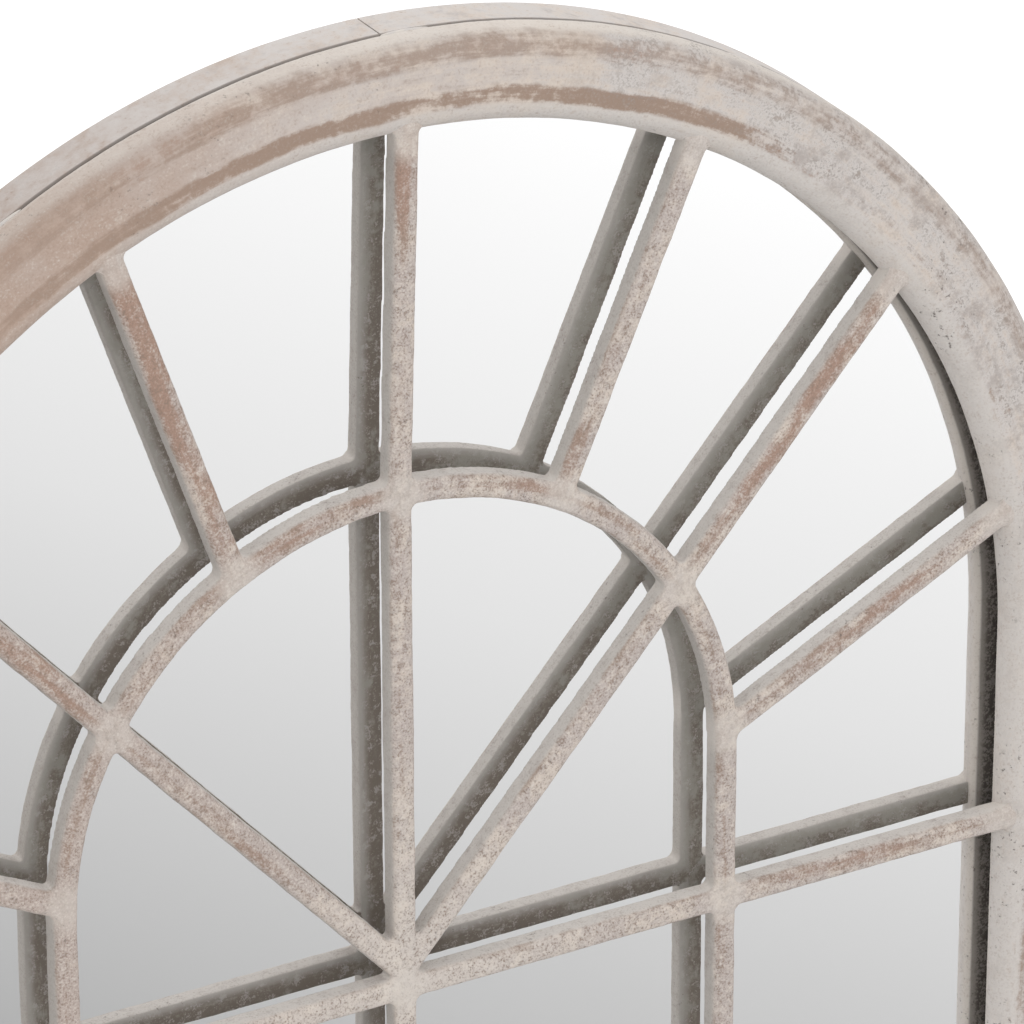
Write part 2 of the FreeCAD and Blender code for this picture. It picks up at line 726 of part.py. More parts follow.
def make_hangers():
    """Two keyhole plates welded inside the rim, flush with its back edge."""
    plate = Part.makeBox(
        HANGER_LENGTH,
        HANGER_THICKNESS,
        HANGER_HEIGHT,
        vec(RIM_INNER - HANGER_LENGTH, -HANGER_THICKNESS, -HANGER_HEIGHT / 2),
    )
    inner_x = RIM_INNER - HANGER_LENGTH
    corners = [edge for edge in plate.Edges if edge.BoundBox.XMax < inner_x + 1e-6]
    corners = [edge for edge in corners if edge.BoundBox.YLength > HANGER_THICKNESS / 2]
    plate = plate.makeFillet(HANGER_CORNER, corners)
    entry = pivot_cylinder(KEYHOLE_RADIUS, -MARGIN, MARGIN).translated(vec(KEYHOLE_X, 0, 0))
    slot_half = KEYHOLE_SLOT_WIDTH / 2
    slot = Part.makeBox(
        KEYHOLE_SLOT_WIDTH, 2 * MARGIN, KEYHOLE_SLOT_RISE, vec(KEYHOLE_X - slot_half, -MARGIN, 0)
    )
    slot_end = pivot_cylinder(slot_half, -MARGIN, MARGIN)
    slot_end.translate(vec(KEYHOLE_X, 0, KEYHOLE_SLOT_RISE))
    plate = largest_solid(plate.cut([entry, slot, slot_end]))
    return {"hanger_right": plate, "hanger_left": largest_solid(mirrored(plate))}


def main():
    os.makedirs("parts", exist_ok=True)
    nodes = make_mouldings(hollow=True)
    frame = make_mouldings(hollow=False)
    rims = make_rims()
    verticals = make_verticals(frame)
    rails = make_transoms(frame, verticals)
    diagonals = make_diagonals(verticals, rails)
    spokes = make_spokes(frame, verticals)
    for group in (rims, verticals, rails, diagonals, spokes):
        nodes.update(group)
    nodes["rim_tack_welds"] = make_tacks()
    welds = spoke_welds(frame, verticals, spokes)
    welds += mullion_welds(frame, verticals)
    welds += transom_welds(frame, verticals, rails, diagonals)
    welds += diagonal_welds(verticals, diagonals)
    nodes["grille_welds"] = Part.makeCompound(welds)
    nodes.update(make_glazing())
    nodes.update(make_buttons(rims))
    nodes.update(make_hangers())
    for name, shape in nodes.items():
        write_node(name, shape)
    print(len(nodes), "nodes")


main()
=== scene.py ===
import math

import bmesh
import bpy
import numpy as np
from mathutils import Euler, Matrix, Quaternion, Vector


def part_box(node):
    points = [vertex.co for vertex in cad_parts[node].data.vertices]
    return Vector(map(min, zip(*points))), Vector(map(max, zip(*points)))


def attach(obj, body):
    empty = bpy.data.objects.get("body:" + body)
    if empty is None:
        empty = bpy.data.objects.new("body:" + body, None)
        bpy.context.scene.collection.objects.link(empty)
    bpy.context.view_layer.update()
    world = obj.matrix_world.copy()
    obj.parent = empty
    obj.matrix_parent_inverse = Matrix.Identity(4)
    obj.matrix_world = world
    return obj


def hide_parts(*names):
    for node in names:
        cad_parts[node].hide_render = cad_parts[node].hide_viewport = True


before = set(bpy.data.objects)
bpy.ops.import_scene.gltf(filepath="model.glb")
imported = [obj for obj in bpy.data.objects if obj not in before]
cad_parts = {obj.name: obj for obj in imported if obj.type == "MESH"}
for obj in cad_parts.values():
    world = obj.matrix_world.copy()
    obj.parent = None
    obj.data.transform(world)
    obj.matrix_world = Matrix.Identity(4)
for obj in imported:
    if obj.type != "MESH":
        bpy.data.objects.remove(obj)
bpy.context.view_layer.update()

bl_info = {
    "name": "Arched Garden Mirror",
    "version": (1, 0, 0),
    "blender": (4, 5, 0),
    "location": "View3D > Sidebar > Mirror",
    "description": "Dresses an arched garden mirror: moulding, welded grille, glazing and back fittings",
    "category": "Object",
}

# Places read from the solids, in metres: X to the right, Y into the wall, Z up
HALF_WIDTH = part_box("back_rim_right")[1].x
BOTTOM_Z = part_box("back_rim_right")[0].z
ARCH_CENTRE_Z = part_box("front_arch_moulding")[0].z
FRONT_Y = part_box("front_arch_moulding")[0].y
SEAM_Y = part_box("front_arch_moulding")[1].y
HALF_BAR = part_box("lower_mullion")[1].x
BAR_FRONT_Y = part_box("lower_mullion")[0].y
BAR_BACK_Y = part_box("lower_mullion")[1].y
BAR_MIDDLE_Y = (BAR_FRONT_Y + BAR_BACK_Y) / 2
INNER_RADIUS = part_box("inner_arch_bar")[1].x - HALF_BAR
INNER_CENTRE_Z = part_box("inner_arch_bar")[0].z
RIM_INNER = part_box("back_rim_bottom")[1].x
RAIL_LEVELS = {
    name: sum(corner.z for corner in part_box("transom_" + name + "_near_left")) / 2
    for name in ("upper", "middle", "lower")
}
GRILLE_SPLIT_Z = RAIL_LEVELS["middle"] + HALF_BAR / 2
LIP_X = 0.3310          # inner edge of the moulding's nose
BAR_LET_IN = 0.009      # how far a bar runs on inside the moulding
SAME_PLACE = 1e-6       # a point nearer than this to a place is there
MERGE_DISTANCE = 1e-5   # points nearer than this to each other are made one
QUARTER_TURN = math.pi / 2

# The sunburst: angles above the right-hand horizontal, and the height at which
# a spoke's line crosses the middle of the mirror, as a share of the inner arch
SPOKE_LINES = {
    "spoke_right_steep": (66.3, 0.248),
    "spoke_right_middle": (48.5, 0.035),
    "spoke_right_low": (26.5, 0.020),
    "spoke_left_low": (153.8, 0.035),
    "spoke_left_middle": (131.6, 0.043),
    "spoke_left_steep": (109.0, -0.046),
}
DIAGONAL_LINES = {"diagonal_right": (48.2, 0.052), "diagonal_left": (131.8, 0.052)}
MULLION_LEAN_DEG = 1.8

# The moulding's section: the flat between nose and heel, and where the sunken face starts and ends,
# from the lip and from the shoulder
HEEL_FLAT = 0.0002
FACE_START = 0.019
FACE_END = 0.002

# The rim: rounding of its back edge, and half the open line where its two sides butt
RIM_EDGE = 0.0005
RIM_JOINT = 0.0004
RIM_SMOOTH_DEG = 40

# Welds in the corners between bars: the angles that get one, its depth as a share of the bar's,
# and how far its point is sunk into the corner
WEB_LEAST_DEG = 25
WEB_MOST_DEG = 150
WEB_DEPTH_SHARE = 0.88
WEB_SINK = 0.002

# Welds where the bars enter the moulding: the nose's overhang, and the pillow that fills the corner
FLARE_OVERHANG = 0.0030
FLARE_SINK = 0.005
PILLOW_OUT = 0.0042
PILLOW_BACK = 0.0006
PILLOW_SIZE = (0.0060, 0.0025, 0.0048)

# Worn bands along the moulding: distance of the middle from the lip, and half the width
INNER_BAND = (0.0144, 0.0072)
OUTER_BAND = (0.0368, 0.0092)

# Paint on the bars: where the pattern starts on each bar and on the arch, and how far a weld shows
BAR_PATTERN_STEP = 1.7
ARCH_PATTERN_START = -3.0
WELD_SHOWS = (0.006, 0.016)

# Where the whitewash is rubbed through on the bars: X, Z, reach, strength
BAR_RUBS = (
    (0.007, 0.415, 0.040, 0.90),
    (-0.130, 0.385, 0.055, 1.00),
    (-0.110, 0.322, 0.055, 0.75),
    (0.179, 0.220, 0.070, 0.50),
    (0.232, 0.274, 0.060, 0.60),
    (0.257, 0.144, 0.070, 0.60),
    (-0.052, 0.256, 0.050, 0.55),
    (0.067, 0.247, 0.045, 0.55),
    (-0.080, 0.106, 0.060, 0.45),
    (0.249, 0.003, 0.070, 0.60),
    (-0.182, 0.224, 0.070, 0.70),
    (0.060, -0.587, 0.080, 0.60),
    (-0.240, -0.294, 0.080, 0.60),
    (0.174, -0.450, 0.090, 0.50),
    (-0.174, -0.740, 0.090, 0.50),
)

# The same on the moulding's inner edge: X, Z, reach, strength
MOULDING_RUBS = (
    (0.101, 0.431, 0.075, 1.00),
    (0.165, 0.412, 0.050, 0.30),
    (-0.030, 0.438, 0.045, 0.80),
    (-0.109, 0.428, 0.060, 0.75),
    (-0.200, 0.370, 0.080, 0.60),
    (0.345, -0.200, 0.120, 0.60),
    (-0.345, -0.450, 0.140, 0.60),
    (0.120, -0.897, 0.130, 0.70),
)


def length_property(label, use, default):
    """A size that a user may change."""
    return bpy.props.FloatProperty(name=label, description=use, default=default, unit="LENGTH")


def colour_property(label, use, default):
    """A colour that a user may change."""
    return bpy.props.FloatVectorProperty(name=label, description=use, default=default, subtype="COLOR")


class MirrorSizes(bpy.types.PropertyGroup):
    """Sizes of the dressed mirror that a user would change."""

    moulding_width: length_property(
        "Moulding width", "From the outside of the frame to its inner lip", HALF_WIDTH - LIP_X)
    nose_radius: length_property("Nose radius", "Rounding of the moulding towards the glass", 0.0115)
    shoulder_radius: length_property(
        "Shoulder radius", "Rounding of the moulding's outer front edge", 0.0095)
    face_recess: length_property(
        "Face recess", "How far the flat face lies behind its two shoulders", 0.0006)
    front_relief: length_property("Front relief", "Room left in front for the uneven surface", 0.0003)
    groove_gap: length_property("Groove", "Width of the open line between moulding and rim", 0.0010)
    groove_chamfer: length_property("Groove chamfer", "Slope on both sides of the open line", 0.0009)
    bar_coat: length_property(
        "Bar coat", "Thickness that primer and whitewash add to a glazing bar", 0.0006)
    bar_edge: length_property("Bar edge", "Rounding of a glazing bar's front edges", 0.0034)
    web_reach: length_property("Weld web", "How far a weld runs along the bars from their corner", 0.0026)
    tack_length: length_property("Tack length", "Length of a tack weld in the groove", 0.024)


class MirrorColours(bpy.types.PropertyGroup):
    """Colours of the whitewash and of the hidden fittings."""

    cream: colour_property("Cream", "Thick whitewash on the front faces", (0.65, 0.565, 0.495))
    # Lime also stands for painted light on the moulding's faces that look back towards the glass.
    lime_and_painted_light: colour_property(
        "Lime", "Thickest whitewash, on the welds and the high grains", (0.7, 0.645, 0.59))
    lilac: colour_property("Lilac", "Cool thin whitewash towards the right", (0.625, 0.585, 0.56))
    tan: colour_property("Tan", "Warm thin whitewash towards the left", (0.45, 0.330, 0.265))
    pink: colour_property("Pink", "Thin whitewash on the bars", (0.51, 0.445, 0.415))
    grey: colour_property("Grey", "Smooth whitewash on the sides of the bars", (0.455, 0.425, 0.395))
    pewter: colour_property("Pewter", "Dull grey clouds in the whitewash", (0.40, 0.355, 0.335))
    # Fog also stands for painted light on the bar sides that look up.
    fog_and_top_light: colour_property("Fog", "Smooth whitewash on the nose and the tops of the bars", (0.62, 0.58, 0.545))
    brown: colour_property("Brown", "Ground that shows where the whitewash is rubbed", (0.33, 0.235, 0.18))
    rust: colour_property("Rust", "Redder patches of the ground", (0.36, 0.21, 0.15))
    # Pit also paints the shade behind the moulding's nose and in the groove.
    pit_and_painted_shade: colour_property("Pit", "Dark specks in the whitewash", (0.13, 0.11, 0.095))
    shade: colour_property("Shade", "Thin dark paint, as on the backs of the bars", (0.205, 0.17, 0.14))
    moss: colour_property("Moss", "Greenish flecks on the backs of the bars", (0.34, 0.32, 0.28))
    silver: colour_property("Silver", "Tint of the mirror", (0.96, 0.96, 0.96))
    foam: colour_property("Foam", "Glazing gasket", (0.03, 0.03, 0.032))
    pore: colour_property("Pore", "Open cells of the gasket", (0.012, 0.012, 0.013))
    board: colour_property("Board", "Hardboard behind the glass", (0.30, 0.185, 0.105))
    zinc: colour_property("Zinc", "Plated turn buttons and screws", (0.50, 0.50, 0.49))
    primer: colour_property("Primer", "Paint on the blocks and hangers", (0.27, 0.23, 0.20))
    floor: colour_property("Floor", "Studio floor where it shows", (0.40, 0.40, 0.40))
    paper: colour_property("Paper", "Studio floor as it throws light back", (0.80, 0.80, 0.80))


def sizes():
    return bpy.context.scene.mirror_sizes


def colour(name, share=1.0):
    """A named colour, or a darker or paler one of its kind."""
    return (*(share * part for part in getattr(bpy.context.scene.mirror_colours, name)), 1.0)


# Edit-mode helpers


def deselect():
    bpy.ops.object.select_all(action="DESELECT")


def settle():
    """Puts the active object's place, turn and scale into its mesh."""
    bpy.ops.object.transform_apply(location=True, rotation=True, scale=True)


def only(obj):
    """Makes one object the selected and active one."""
    deselect()
    obj.select_set(True)
    bpy.context.view_layer.objects.active = obj


def start_edit(obj):
    only(obj)
    bpy.ops.object.mode_set(mode="EDIT")


def end_edit():
    bpy.ops.object.mode_set(mode="OBJECT")


def pick(obj, kind, test):
    """Selects, in edit mode, the vertices, edges or faces that pass a test."""
    bpy.ops.mesh.select_mode(type=kind)
    bpy.ops.mesh.select_all(action="DESELECT")
    mesh = bmesh.from_edit_mesh(obj.data)
    items = {"VERT": mesh.verts, "EDGE": mesh.edges, "FACE": mesh.faces}[kind]
    for item in [item for item in items if test(item)]:
        item.select_set(True)
    mesh.select_flush_mode()
    bmesh.update_edit_mesh(obj.data)


def apply_modifier(obj, kind, **settings):
    """Adds a modifier with these settings and applies it."""
    only(obj)
    modifier = obj.modifiers.new(kind.lower(), kind)
    for key, value in settings.items():
        setattr(modifier, key, value)
    bpy.ops.object.modifier_apply(modifier=modifier.name)


def make_uneven(obj, wave, height):
    """Moves the surface in and out a little, as hand work leaves it."""
    texture = bpy.data.textures.new(obj.name + "_uneven", "CLOUDS")
    texture.noise_scale = wave
    texture.noise_depth = 2
    apply_modifier(obj, "DISPLACE", texture=texture, strength=height, texture_coords="LOCAL")


def join(parts, name):
    """Joins objects into the first of them and names it."""
    only(parts[0])
    for part in parts:
        part.select_set(True)
    bpy.ops.object.join()
    obj = bpy.context.object
    obj.name = name
    obj.data.name = name
    return obj


def points_of(obj):
    flat = np.empty(len(obj.data.vertices) * 3, np.float32)
    obj.data.vertices.foreach_get("co", flat)
    return flat.reshape(-1, 3).astype(float)


def store(obj, name, values):
    """Keeps one number per vertex, for a material to read."""
    layer = obj.data.attributes.new(name, "FLOAT", "POINT")
    layer.data.foreach_set("value", np.asarray(values, np.float32))


def smoothstep(low, high, values):
    share = np.clip((values - low) / (high - low), 0, 1)
    return share * share * (3 - 2 * share)


def spots(points, places):
    """Sum of soft round spots, given as X, Z, reach and strength."""
    total = np.zeros(len(points))
    for x, z, reach, strength in places:
        distance = np.hypot(points[:, 0] - x, points[:, 2] - z)
        total += strength * np.exp(-(distance / reach) ** 2)
    return np.clip(total, 0, 1)


def finish_piece(obj, material, body, nodes):
    """Gives a piece its finish and its body, and hides the solids that it stands for."""
    only(obj)
    bpy.ops.object.shade_smooth()
    obj.data.materials.clear()
    obj.data.materials.append(material)
    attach(obj, body)
    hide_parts(*nodes)


def dress_nodes(names, material):
    """Gives carried-over solids a better finish."""
    for name in names:
        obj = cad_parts[name]
        obj.data.materials.clear()
        obj.data.materials.append(material)


# Node helpers


class Recipe:
    """The nodes of one finish, with a short call for each kind that it uses."""

    def __init__(self, name, roughness, metallic=0.0):
        self.material = bpy.data.materials.new(name)
        self.material.use_nodes = True
        self.nodes = self.material.node_tree.nodes
        self.links = self.material.node_tree.links
        self.shader = self.nodes["Principled BSDF"]
        self.shader.inputs["Roughness"].default_value = roughness
        self.shader.inputs["Metallic"].default_value = metallic
        self.place = self.nodes.new("ShaderNodeTexCoord").outputs["Object"]
        self.textures = {}
        self.base = None

    def feed(self, socket, value):
        """Links another socket to this one, or sets a number, a colour or a named colour on it."""
        if isinstance(value, bpy.types.NodeSocket):
            self.links.new(value, socket)
        else:
            socket.default_value = colour(value) if isinstance(value, str) else value

    def attribute(self, name):
        node = self.nodes.new("ShaderNodeAttribute")
        node.attribute_name = name
        return node.outputs["Fac"]

    def axis(self, letter, vector=None):
        """One part of a vector, or of the place on the piece where no vector is given."""
        node = self.nodes.new("ShaderNodeSeparateXYZ")
        self.feed(node.inputs[0], vector or self.place)
        return node.outputs[letter]

    def facing(self, letter, sign):
        """1 on a face that looks along the signed axis, -1 on one that looks the other way."""
        normal = self.nodes.new("ShaderNodeNewGeometry").outputs["Normal"]
        return self.times(self.axis(letter, normal), sign)

    def maths(self, operation, first, second=0.0):
        node = self.nodes.new("ShaderNodeMath")
        node.operation = operation
        self.feed(node.inputs[0], first)
        self.feed(node.inputs[1], second)
        return node.outputs[0]

    def times(self, first, second):
        return self.maths("MULTIPLY", first, second)

    def plus(self, first, second):
        return self.maths("ADD", first, second)

    def minus(self, first, second):
        return self.maths("SUBTRACT", first, second)

    def line(self, value, slope, start):
        return self.plus(self.times(value, slope), start)

    def away(self, value, centre):
        """Distance of a value from a centre, without its sign."""
        return self.maths("ABSOLUTE", self.minus(value, centre))

    def blend(self, **weights):
        """Sum of named textures about their middle value, each times its weight."""
        total = 0.0
        for name, weight in weights.items():
            total = self.plus(self.times(self.minus(self.textures[name], 0.5), weight), total)
        return total

    def span(self, value, low, high, to_low=0.0, to_high=1.0):
        """Soft step from one level to another as a value goes from low to high."""
        node = self.nodes.new("ShaderNodeMapRange")
        node.interpolation_type = "SMOOTHSTEP"
        for key, number in (("Value", value), ("From Min", low), ("From Max", high),
                            ("To Min", to_low), ("To Max", to_high)):
            self.feed(node.inputs[key], number)
        return node.outputs["Result"]

    def stretch(self, scale):
        """The place on the piece, drawn out along an axis."""
        node = self.nodes.new("ShaderNodeMapping")
        self.feed(node.inputs["Vector"], self.place)
        node.inputs["Scale"].default_value = scale
        return node.outputs["Vector"]

    def combine(self, x, y, z=0.0):
        node = self.nodes.new("ShaderNodeCombineXYZ")
        for socket, value in zip(node.inputs, (x, y, z)):
            self.feed(socket, value)
        return node.outputs[0]

    def noise(self, scale, detail, roughness=0.5, vector=None):
        """Clouds over a vector, or over the place on the piece where no vector is given."""
        node = self.nodes.new("ShaderNodeTexNoise")
        self.feed(node.inputs["Vector"], vector or self.place)
        node.inputs["Scale"].default_value = scale
        node.inputs["Detail"].default_value = detail
        node.inputs["Roughness"].default_value = roughness
        return node.outputs["Fac"]

    def texture(self, name, scale, detail, roughness=0.5, vector=None):
        """Keeps a noise under a name, for blends."""
        self.textures[name] = self.noise(scale, detail, roughness, vector)

    def specks(self, scale):
        """Distance to the nearest of many scattered points."""
        node = self.nodes.new("ShaderNodeTexVoronoi")
        self.feed(node.inputs["Vector"], self.place)
        node.inputs["Scale"].default_value = scale
        return node.outputs["Distance"]

    def mix(self, factor, first, second):
        node = self.nodes.new("ShaderNodeMix")
        node.data_type = "RGBA"
        self.feed(node.inputs[0], factor)
        self.feed(node.inputs[6], first)
        self.feed(node.inputs[7], second)
        return node.outputs[2]

    def bump(self, height, strength, distance):
        node = self.nodes.new("ShaderNodeBump")
        node.inputs["Strength"].default_value = strength
        node.inputs["Distance"].default_value = distance
        self.feed(node.inputs["Height"], height)
        self.feed(self.shader.inputs["Normal"], node.outputs["Normal"])

    def pits(self, scale, gate_scale, gate_low, gate_high):
        """Ragged dark specks that come in clusters, 1 in a speck and 0 beside it."""
        hole = self.span(self.noise(scale, 3.0, 0.7), 0.60, 0.70)
        gate = self.span(self.noise(gate_scale, 3.0), gate_low, gate_high)
        return self.times(hole, gate)

    def groove(self):
        """1 at the open line between moulding and rim, fading out on its slopes, where painted shade and
        grime darken it.
        """
        return self.span(self.away(self.axis("Y"), SEAM_Y), 0.0009, 0.0017, 1.0, 0.0)

    def coat(self, factor, paint):
        """Lays a paint over the finish so far, as thickly as the factor says."""
        self.base = self.mix(factor, self.base, paint)

    def finish(self):
        self.feed(self.shader.inputs["Base Color"], self.base)
        return self.material


# Finishes


class MouldingPaint(Recipe):
    """Whitewash on the moulding, rubbed through in two bands along its edges."""

    def __init__(self):
        super().__init__("distressed_moulding", 0.84)
        self.across = self.attribute("across")
        self.rub = self.attribute("rub")
        self.front = self.facing("Y", -1.0)
        self.texture("patches", 15.0, 4.0, 0.6)
        self.texture("blotch", 62.0, 6.0, 0.72)
        self.texture("mottle", 190.0, 5.0, 0.70)
        self.texture("grain", 850.0, 2.0, 0.6)
        along = self.attribute("along")
        brush = self.combine(self.times(along, 24.0), self.times(self.across, 280.0))
        self.texture("streak", 1.0, 6.0, 0.66, brush)
        self.texture("wander", 1.0, 3.0, vector=self.combine(self.times(along, 12.0), 0.0))
        self.side = self.axis("X")
        drift = self.plus(self.side, self.blend(patches=0.5))
        self.cool = self.span(drift, -0.28, 0.16)
        self.right = self.span(drift, 0.02, 0.26)

    def wash(self):
        """Cream with thin places, tan to the left and lilac to the right, under dull clouds, and paler lime
        on the faces that look back towards the glass, as painted light.
        """
        thin = self.mix(self.cool, "tan", "lilac")
        share = self.blend(patches=0.8, blotch=1.2, streak=0.7)
        share = self.plus(share, self.span(self.side, -0.32, 0.06, 0.46, 0.0))
        share = self.plus(share, self.times(self.right, 0.14))
        self.base = self.mix(self.span(share, -0.18, 0.20), "cream", thin)
        dull = self.plus(self.blend(blotch=-1.6, mottle=1.0), self.times(self.right, 0.10))
        dull = self.span(dull, 0.04, 0.38, 0.0, 0.80)
        dull = self.times(dull, self.line(self.right, 0.70, 0.30))
        self.coat(dull, self.mix(self.cool, "brown", "pewter"))
        nose = self.span(self.across, 0.0085, 0.0125, 1.0, 0.0)
        self.coat(self.times(nose, self.line(self.cool, 0.45, 0.20)), "fog_and_top_light")
        # Painted light: faces that look back towards the glass lie in shade and are coated paler lime.
        self.coat(self.span(self.front, 0.05, -0.5), "lime_and_painted_light")
        flank = self.times(self.span(self.front, 0.70, 0.20), self.span(self.across, 0.036, 0.042))
        self.coat(self.times(flank, self.line(self.cool, 0.40, 0.40)), "lime_and_painted_light")

    def band(self, place, strength, rough, low, high):
        """1 where the wash is worn in a band along the moulding, with ragged edges."""
        middle, width = place
        offset = self.away(self.plus(self.across, self.blend(wander=0.008)), middle)
        near = self.span(offset, width * 0.15, width, 1.0, 0.0)
        level = self.plus(self.times(near, strength), rough)
        return self.times(self.span(level, low, high), self.span(near, 0.0, 0.70))

    def wear(self):
        """Shows the ground along both edges and in smears, and returns where it shows."""
        rough = self.blend(streak=1.3, blotch=1.4, mottle=1.4, grain=0.5)
        inner = self.band(INNER_BAND, self.line(self.rub, 0.74, 0.08), rough, 0.08, 0.66)
        outer = self.band(OUTER_BAND, self.span(self.right, 0.0, 1.0, 0.56, 0.34), rough, 0.06, 0.74)
        smears = self.span(rough, 0.18, 0.60, 0.0, 0.65)
        worn = self.maths("MAXIMUM", self.maths("MAXIMUM", inner, self.times(outer, 0.8)), smears)
        worn = self.times(worn, self.span(self.across, 0.002, 0.009, 0.40, 1.0))
        bare = self.span(self.blend(streak=0.8, mottle=1.0), -0.24, 0.06)
        ground = self.mix(bare, "tan", "brown")
        red = self.span(self.blend(patches=1.0, mottle=0.6), 0.04, 0.24)
        ground = self.mix(self.times(red, 0.7), ground, "rust")
        ground = self.mix(self.times(inner, self.rub), ground, "brown")
        self.coat(self.times(worn, 0.97), ground)
        self.coat(self.span(self.side, -0.34, -0.02, 0.52, 0.0), "tan")
        return worn

    def speckle(self, worn):
        """Pale and brown grains, grey sand towards the right, and dark pits, which it returns."""
        fine = self.blend(mottle=0.8, grain=0.9)
        whole = self.minus(1.0, self.times(worn, 0.70))
        self.coat(self.times(self.span(fine, 0.00, 0.34, 0.0, 0.60), whole), "lime_and_painted_light")
        self.coat(self.span(fine, 0.00, -0.36, 0.0, 0.45), "brown")
        sand = self.span(self.blend(grain=1.6, mottle=0.9), -0.06, 0.20)
        gate = self.blend(blotch=1.2, streak=0.6, patches=0.8)
        gate = self.times(self.span(gate, -0.10, 0.10), self.line(self.right, 0.60, 0.06))
        gate = self.times(gate, self.span(self.across, 0.009, 0.016))
        self.coat(self.times(sand, gate), self.mix(0.5, "pewter", "shade"))
        pits = self.times(self.pits(330.0, 20.0, 0.46, 0.60), self.line(self.cool, 0.5, 0.3))
        self.coat(pits, "pit_and_painted_shade")
        return pits

    def shadow_gaps(self):
        """Painted shade: a dark strip with pale flecks of paint behind the nose, and a dark line of painted
        shade and grime in the groove.
        """
        # Painted shade: the back of the nose, in the gap before the glass, is painted dark, flecked with
        # pale paint.
        hidden = self.times(self.span(self.front, -0.50, -0.80), self.span(self.across, 0.0035, 0.0070))
        hidden = self.times(hidden, self.span(self.across, 0.020, 0.030, 1.0, 0.0))
        flecks = self.span(self.blend(grain=1.2, mottle=1.0), -0.08, 0.10)
        self.coat(hidden, self.mix(flecks, "pit_and_painted_shade", "lime_and_painted_light"))
        # Painted shade and grime: a dark line in the groove between moulding and rim.
        self.coat(self.times(self.groove(), 0.7), "pit_and_painted_shade")

    def relief(self, worn, pits):
        """Thickness of the wash, lower where it is worn and in the pits."""
        height = self.blend(grain=0.5, mottle=1.0, blotch=1.0, streak=0.6)
        height = self.minus(height, self.times(worn, 0.35))
        self.bump(self.minus(height, pits), 0.55, 0.0007)


def moulding_paint():
    paint = MouldingPaint()
    paint.wash()
    worn = paint.wear()
    pits = paint.speckle(worn)
    paint.shadow_gaps()
    paint.relief(worn, pits)
    return paint.finish()


def rim_paint():
    """Thin streaky whitewash on the strip behind the moulding."""
    recipe = Recipe("distressed_rim", 0.84)
    recipe.texture("patches", 24.0, 6.0, 0.70)
    recipe.texture("mottle", 160.0, 5.0, 0.70)
    recipe.texture("grain", 800.0, 2.0, 0.6)
    share = recipe.span(recipe.blend(patches=1.0, mottle=0.6), -0.26, 0.08)
    recipe.base = recipe.mix(share, "cream", "lilac")
    dull = recipe.span(recipe.blend(patches=-1.3, mottle=0.9), 0.02, 0.30, 0.0, 0.55)
    recipe.coat(dull, "pewter")
    side = recipe.plus(recipe.axis("X"), recipe.blend(patches=0.4, mottle=0.3))
    warm = recipe.mix(0.5, "tan", recipe.mix(0.5, "pewter", "brown"))
    recipe.coat(recipe.span(side, -0.32, 0.04, 0.95, 0.0), warm)
    worn = recipe.span(recipe.blend(patches=0.9, mottle=1.0, grain=0.6), 0.16, 0.40)
    recipe.coat(recipe.times(worn, 0.40), "pewter")
    dark = recipe.span(recipe.blend(mottle=0.8, grain=0.9), -0.10, -0.32)
    recipe.coat(recipe.times(dark, 0.45), "brown")
    # Painted shade and grime: a dark line in the groove between rim and moulding.
    recipe.coat(recipe.times(recipe.groove(), 0.7), "pit_and_painted_shade")
    recipe.bump(recipe.blend(grain=0.6, mottle=0.8), 0.45, 0.0005)
    return recipe.finish()


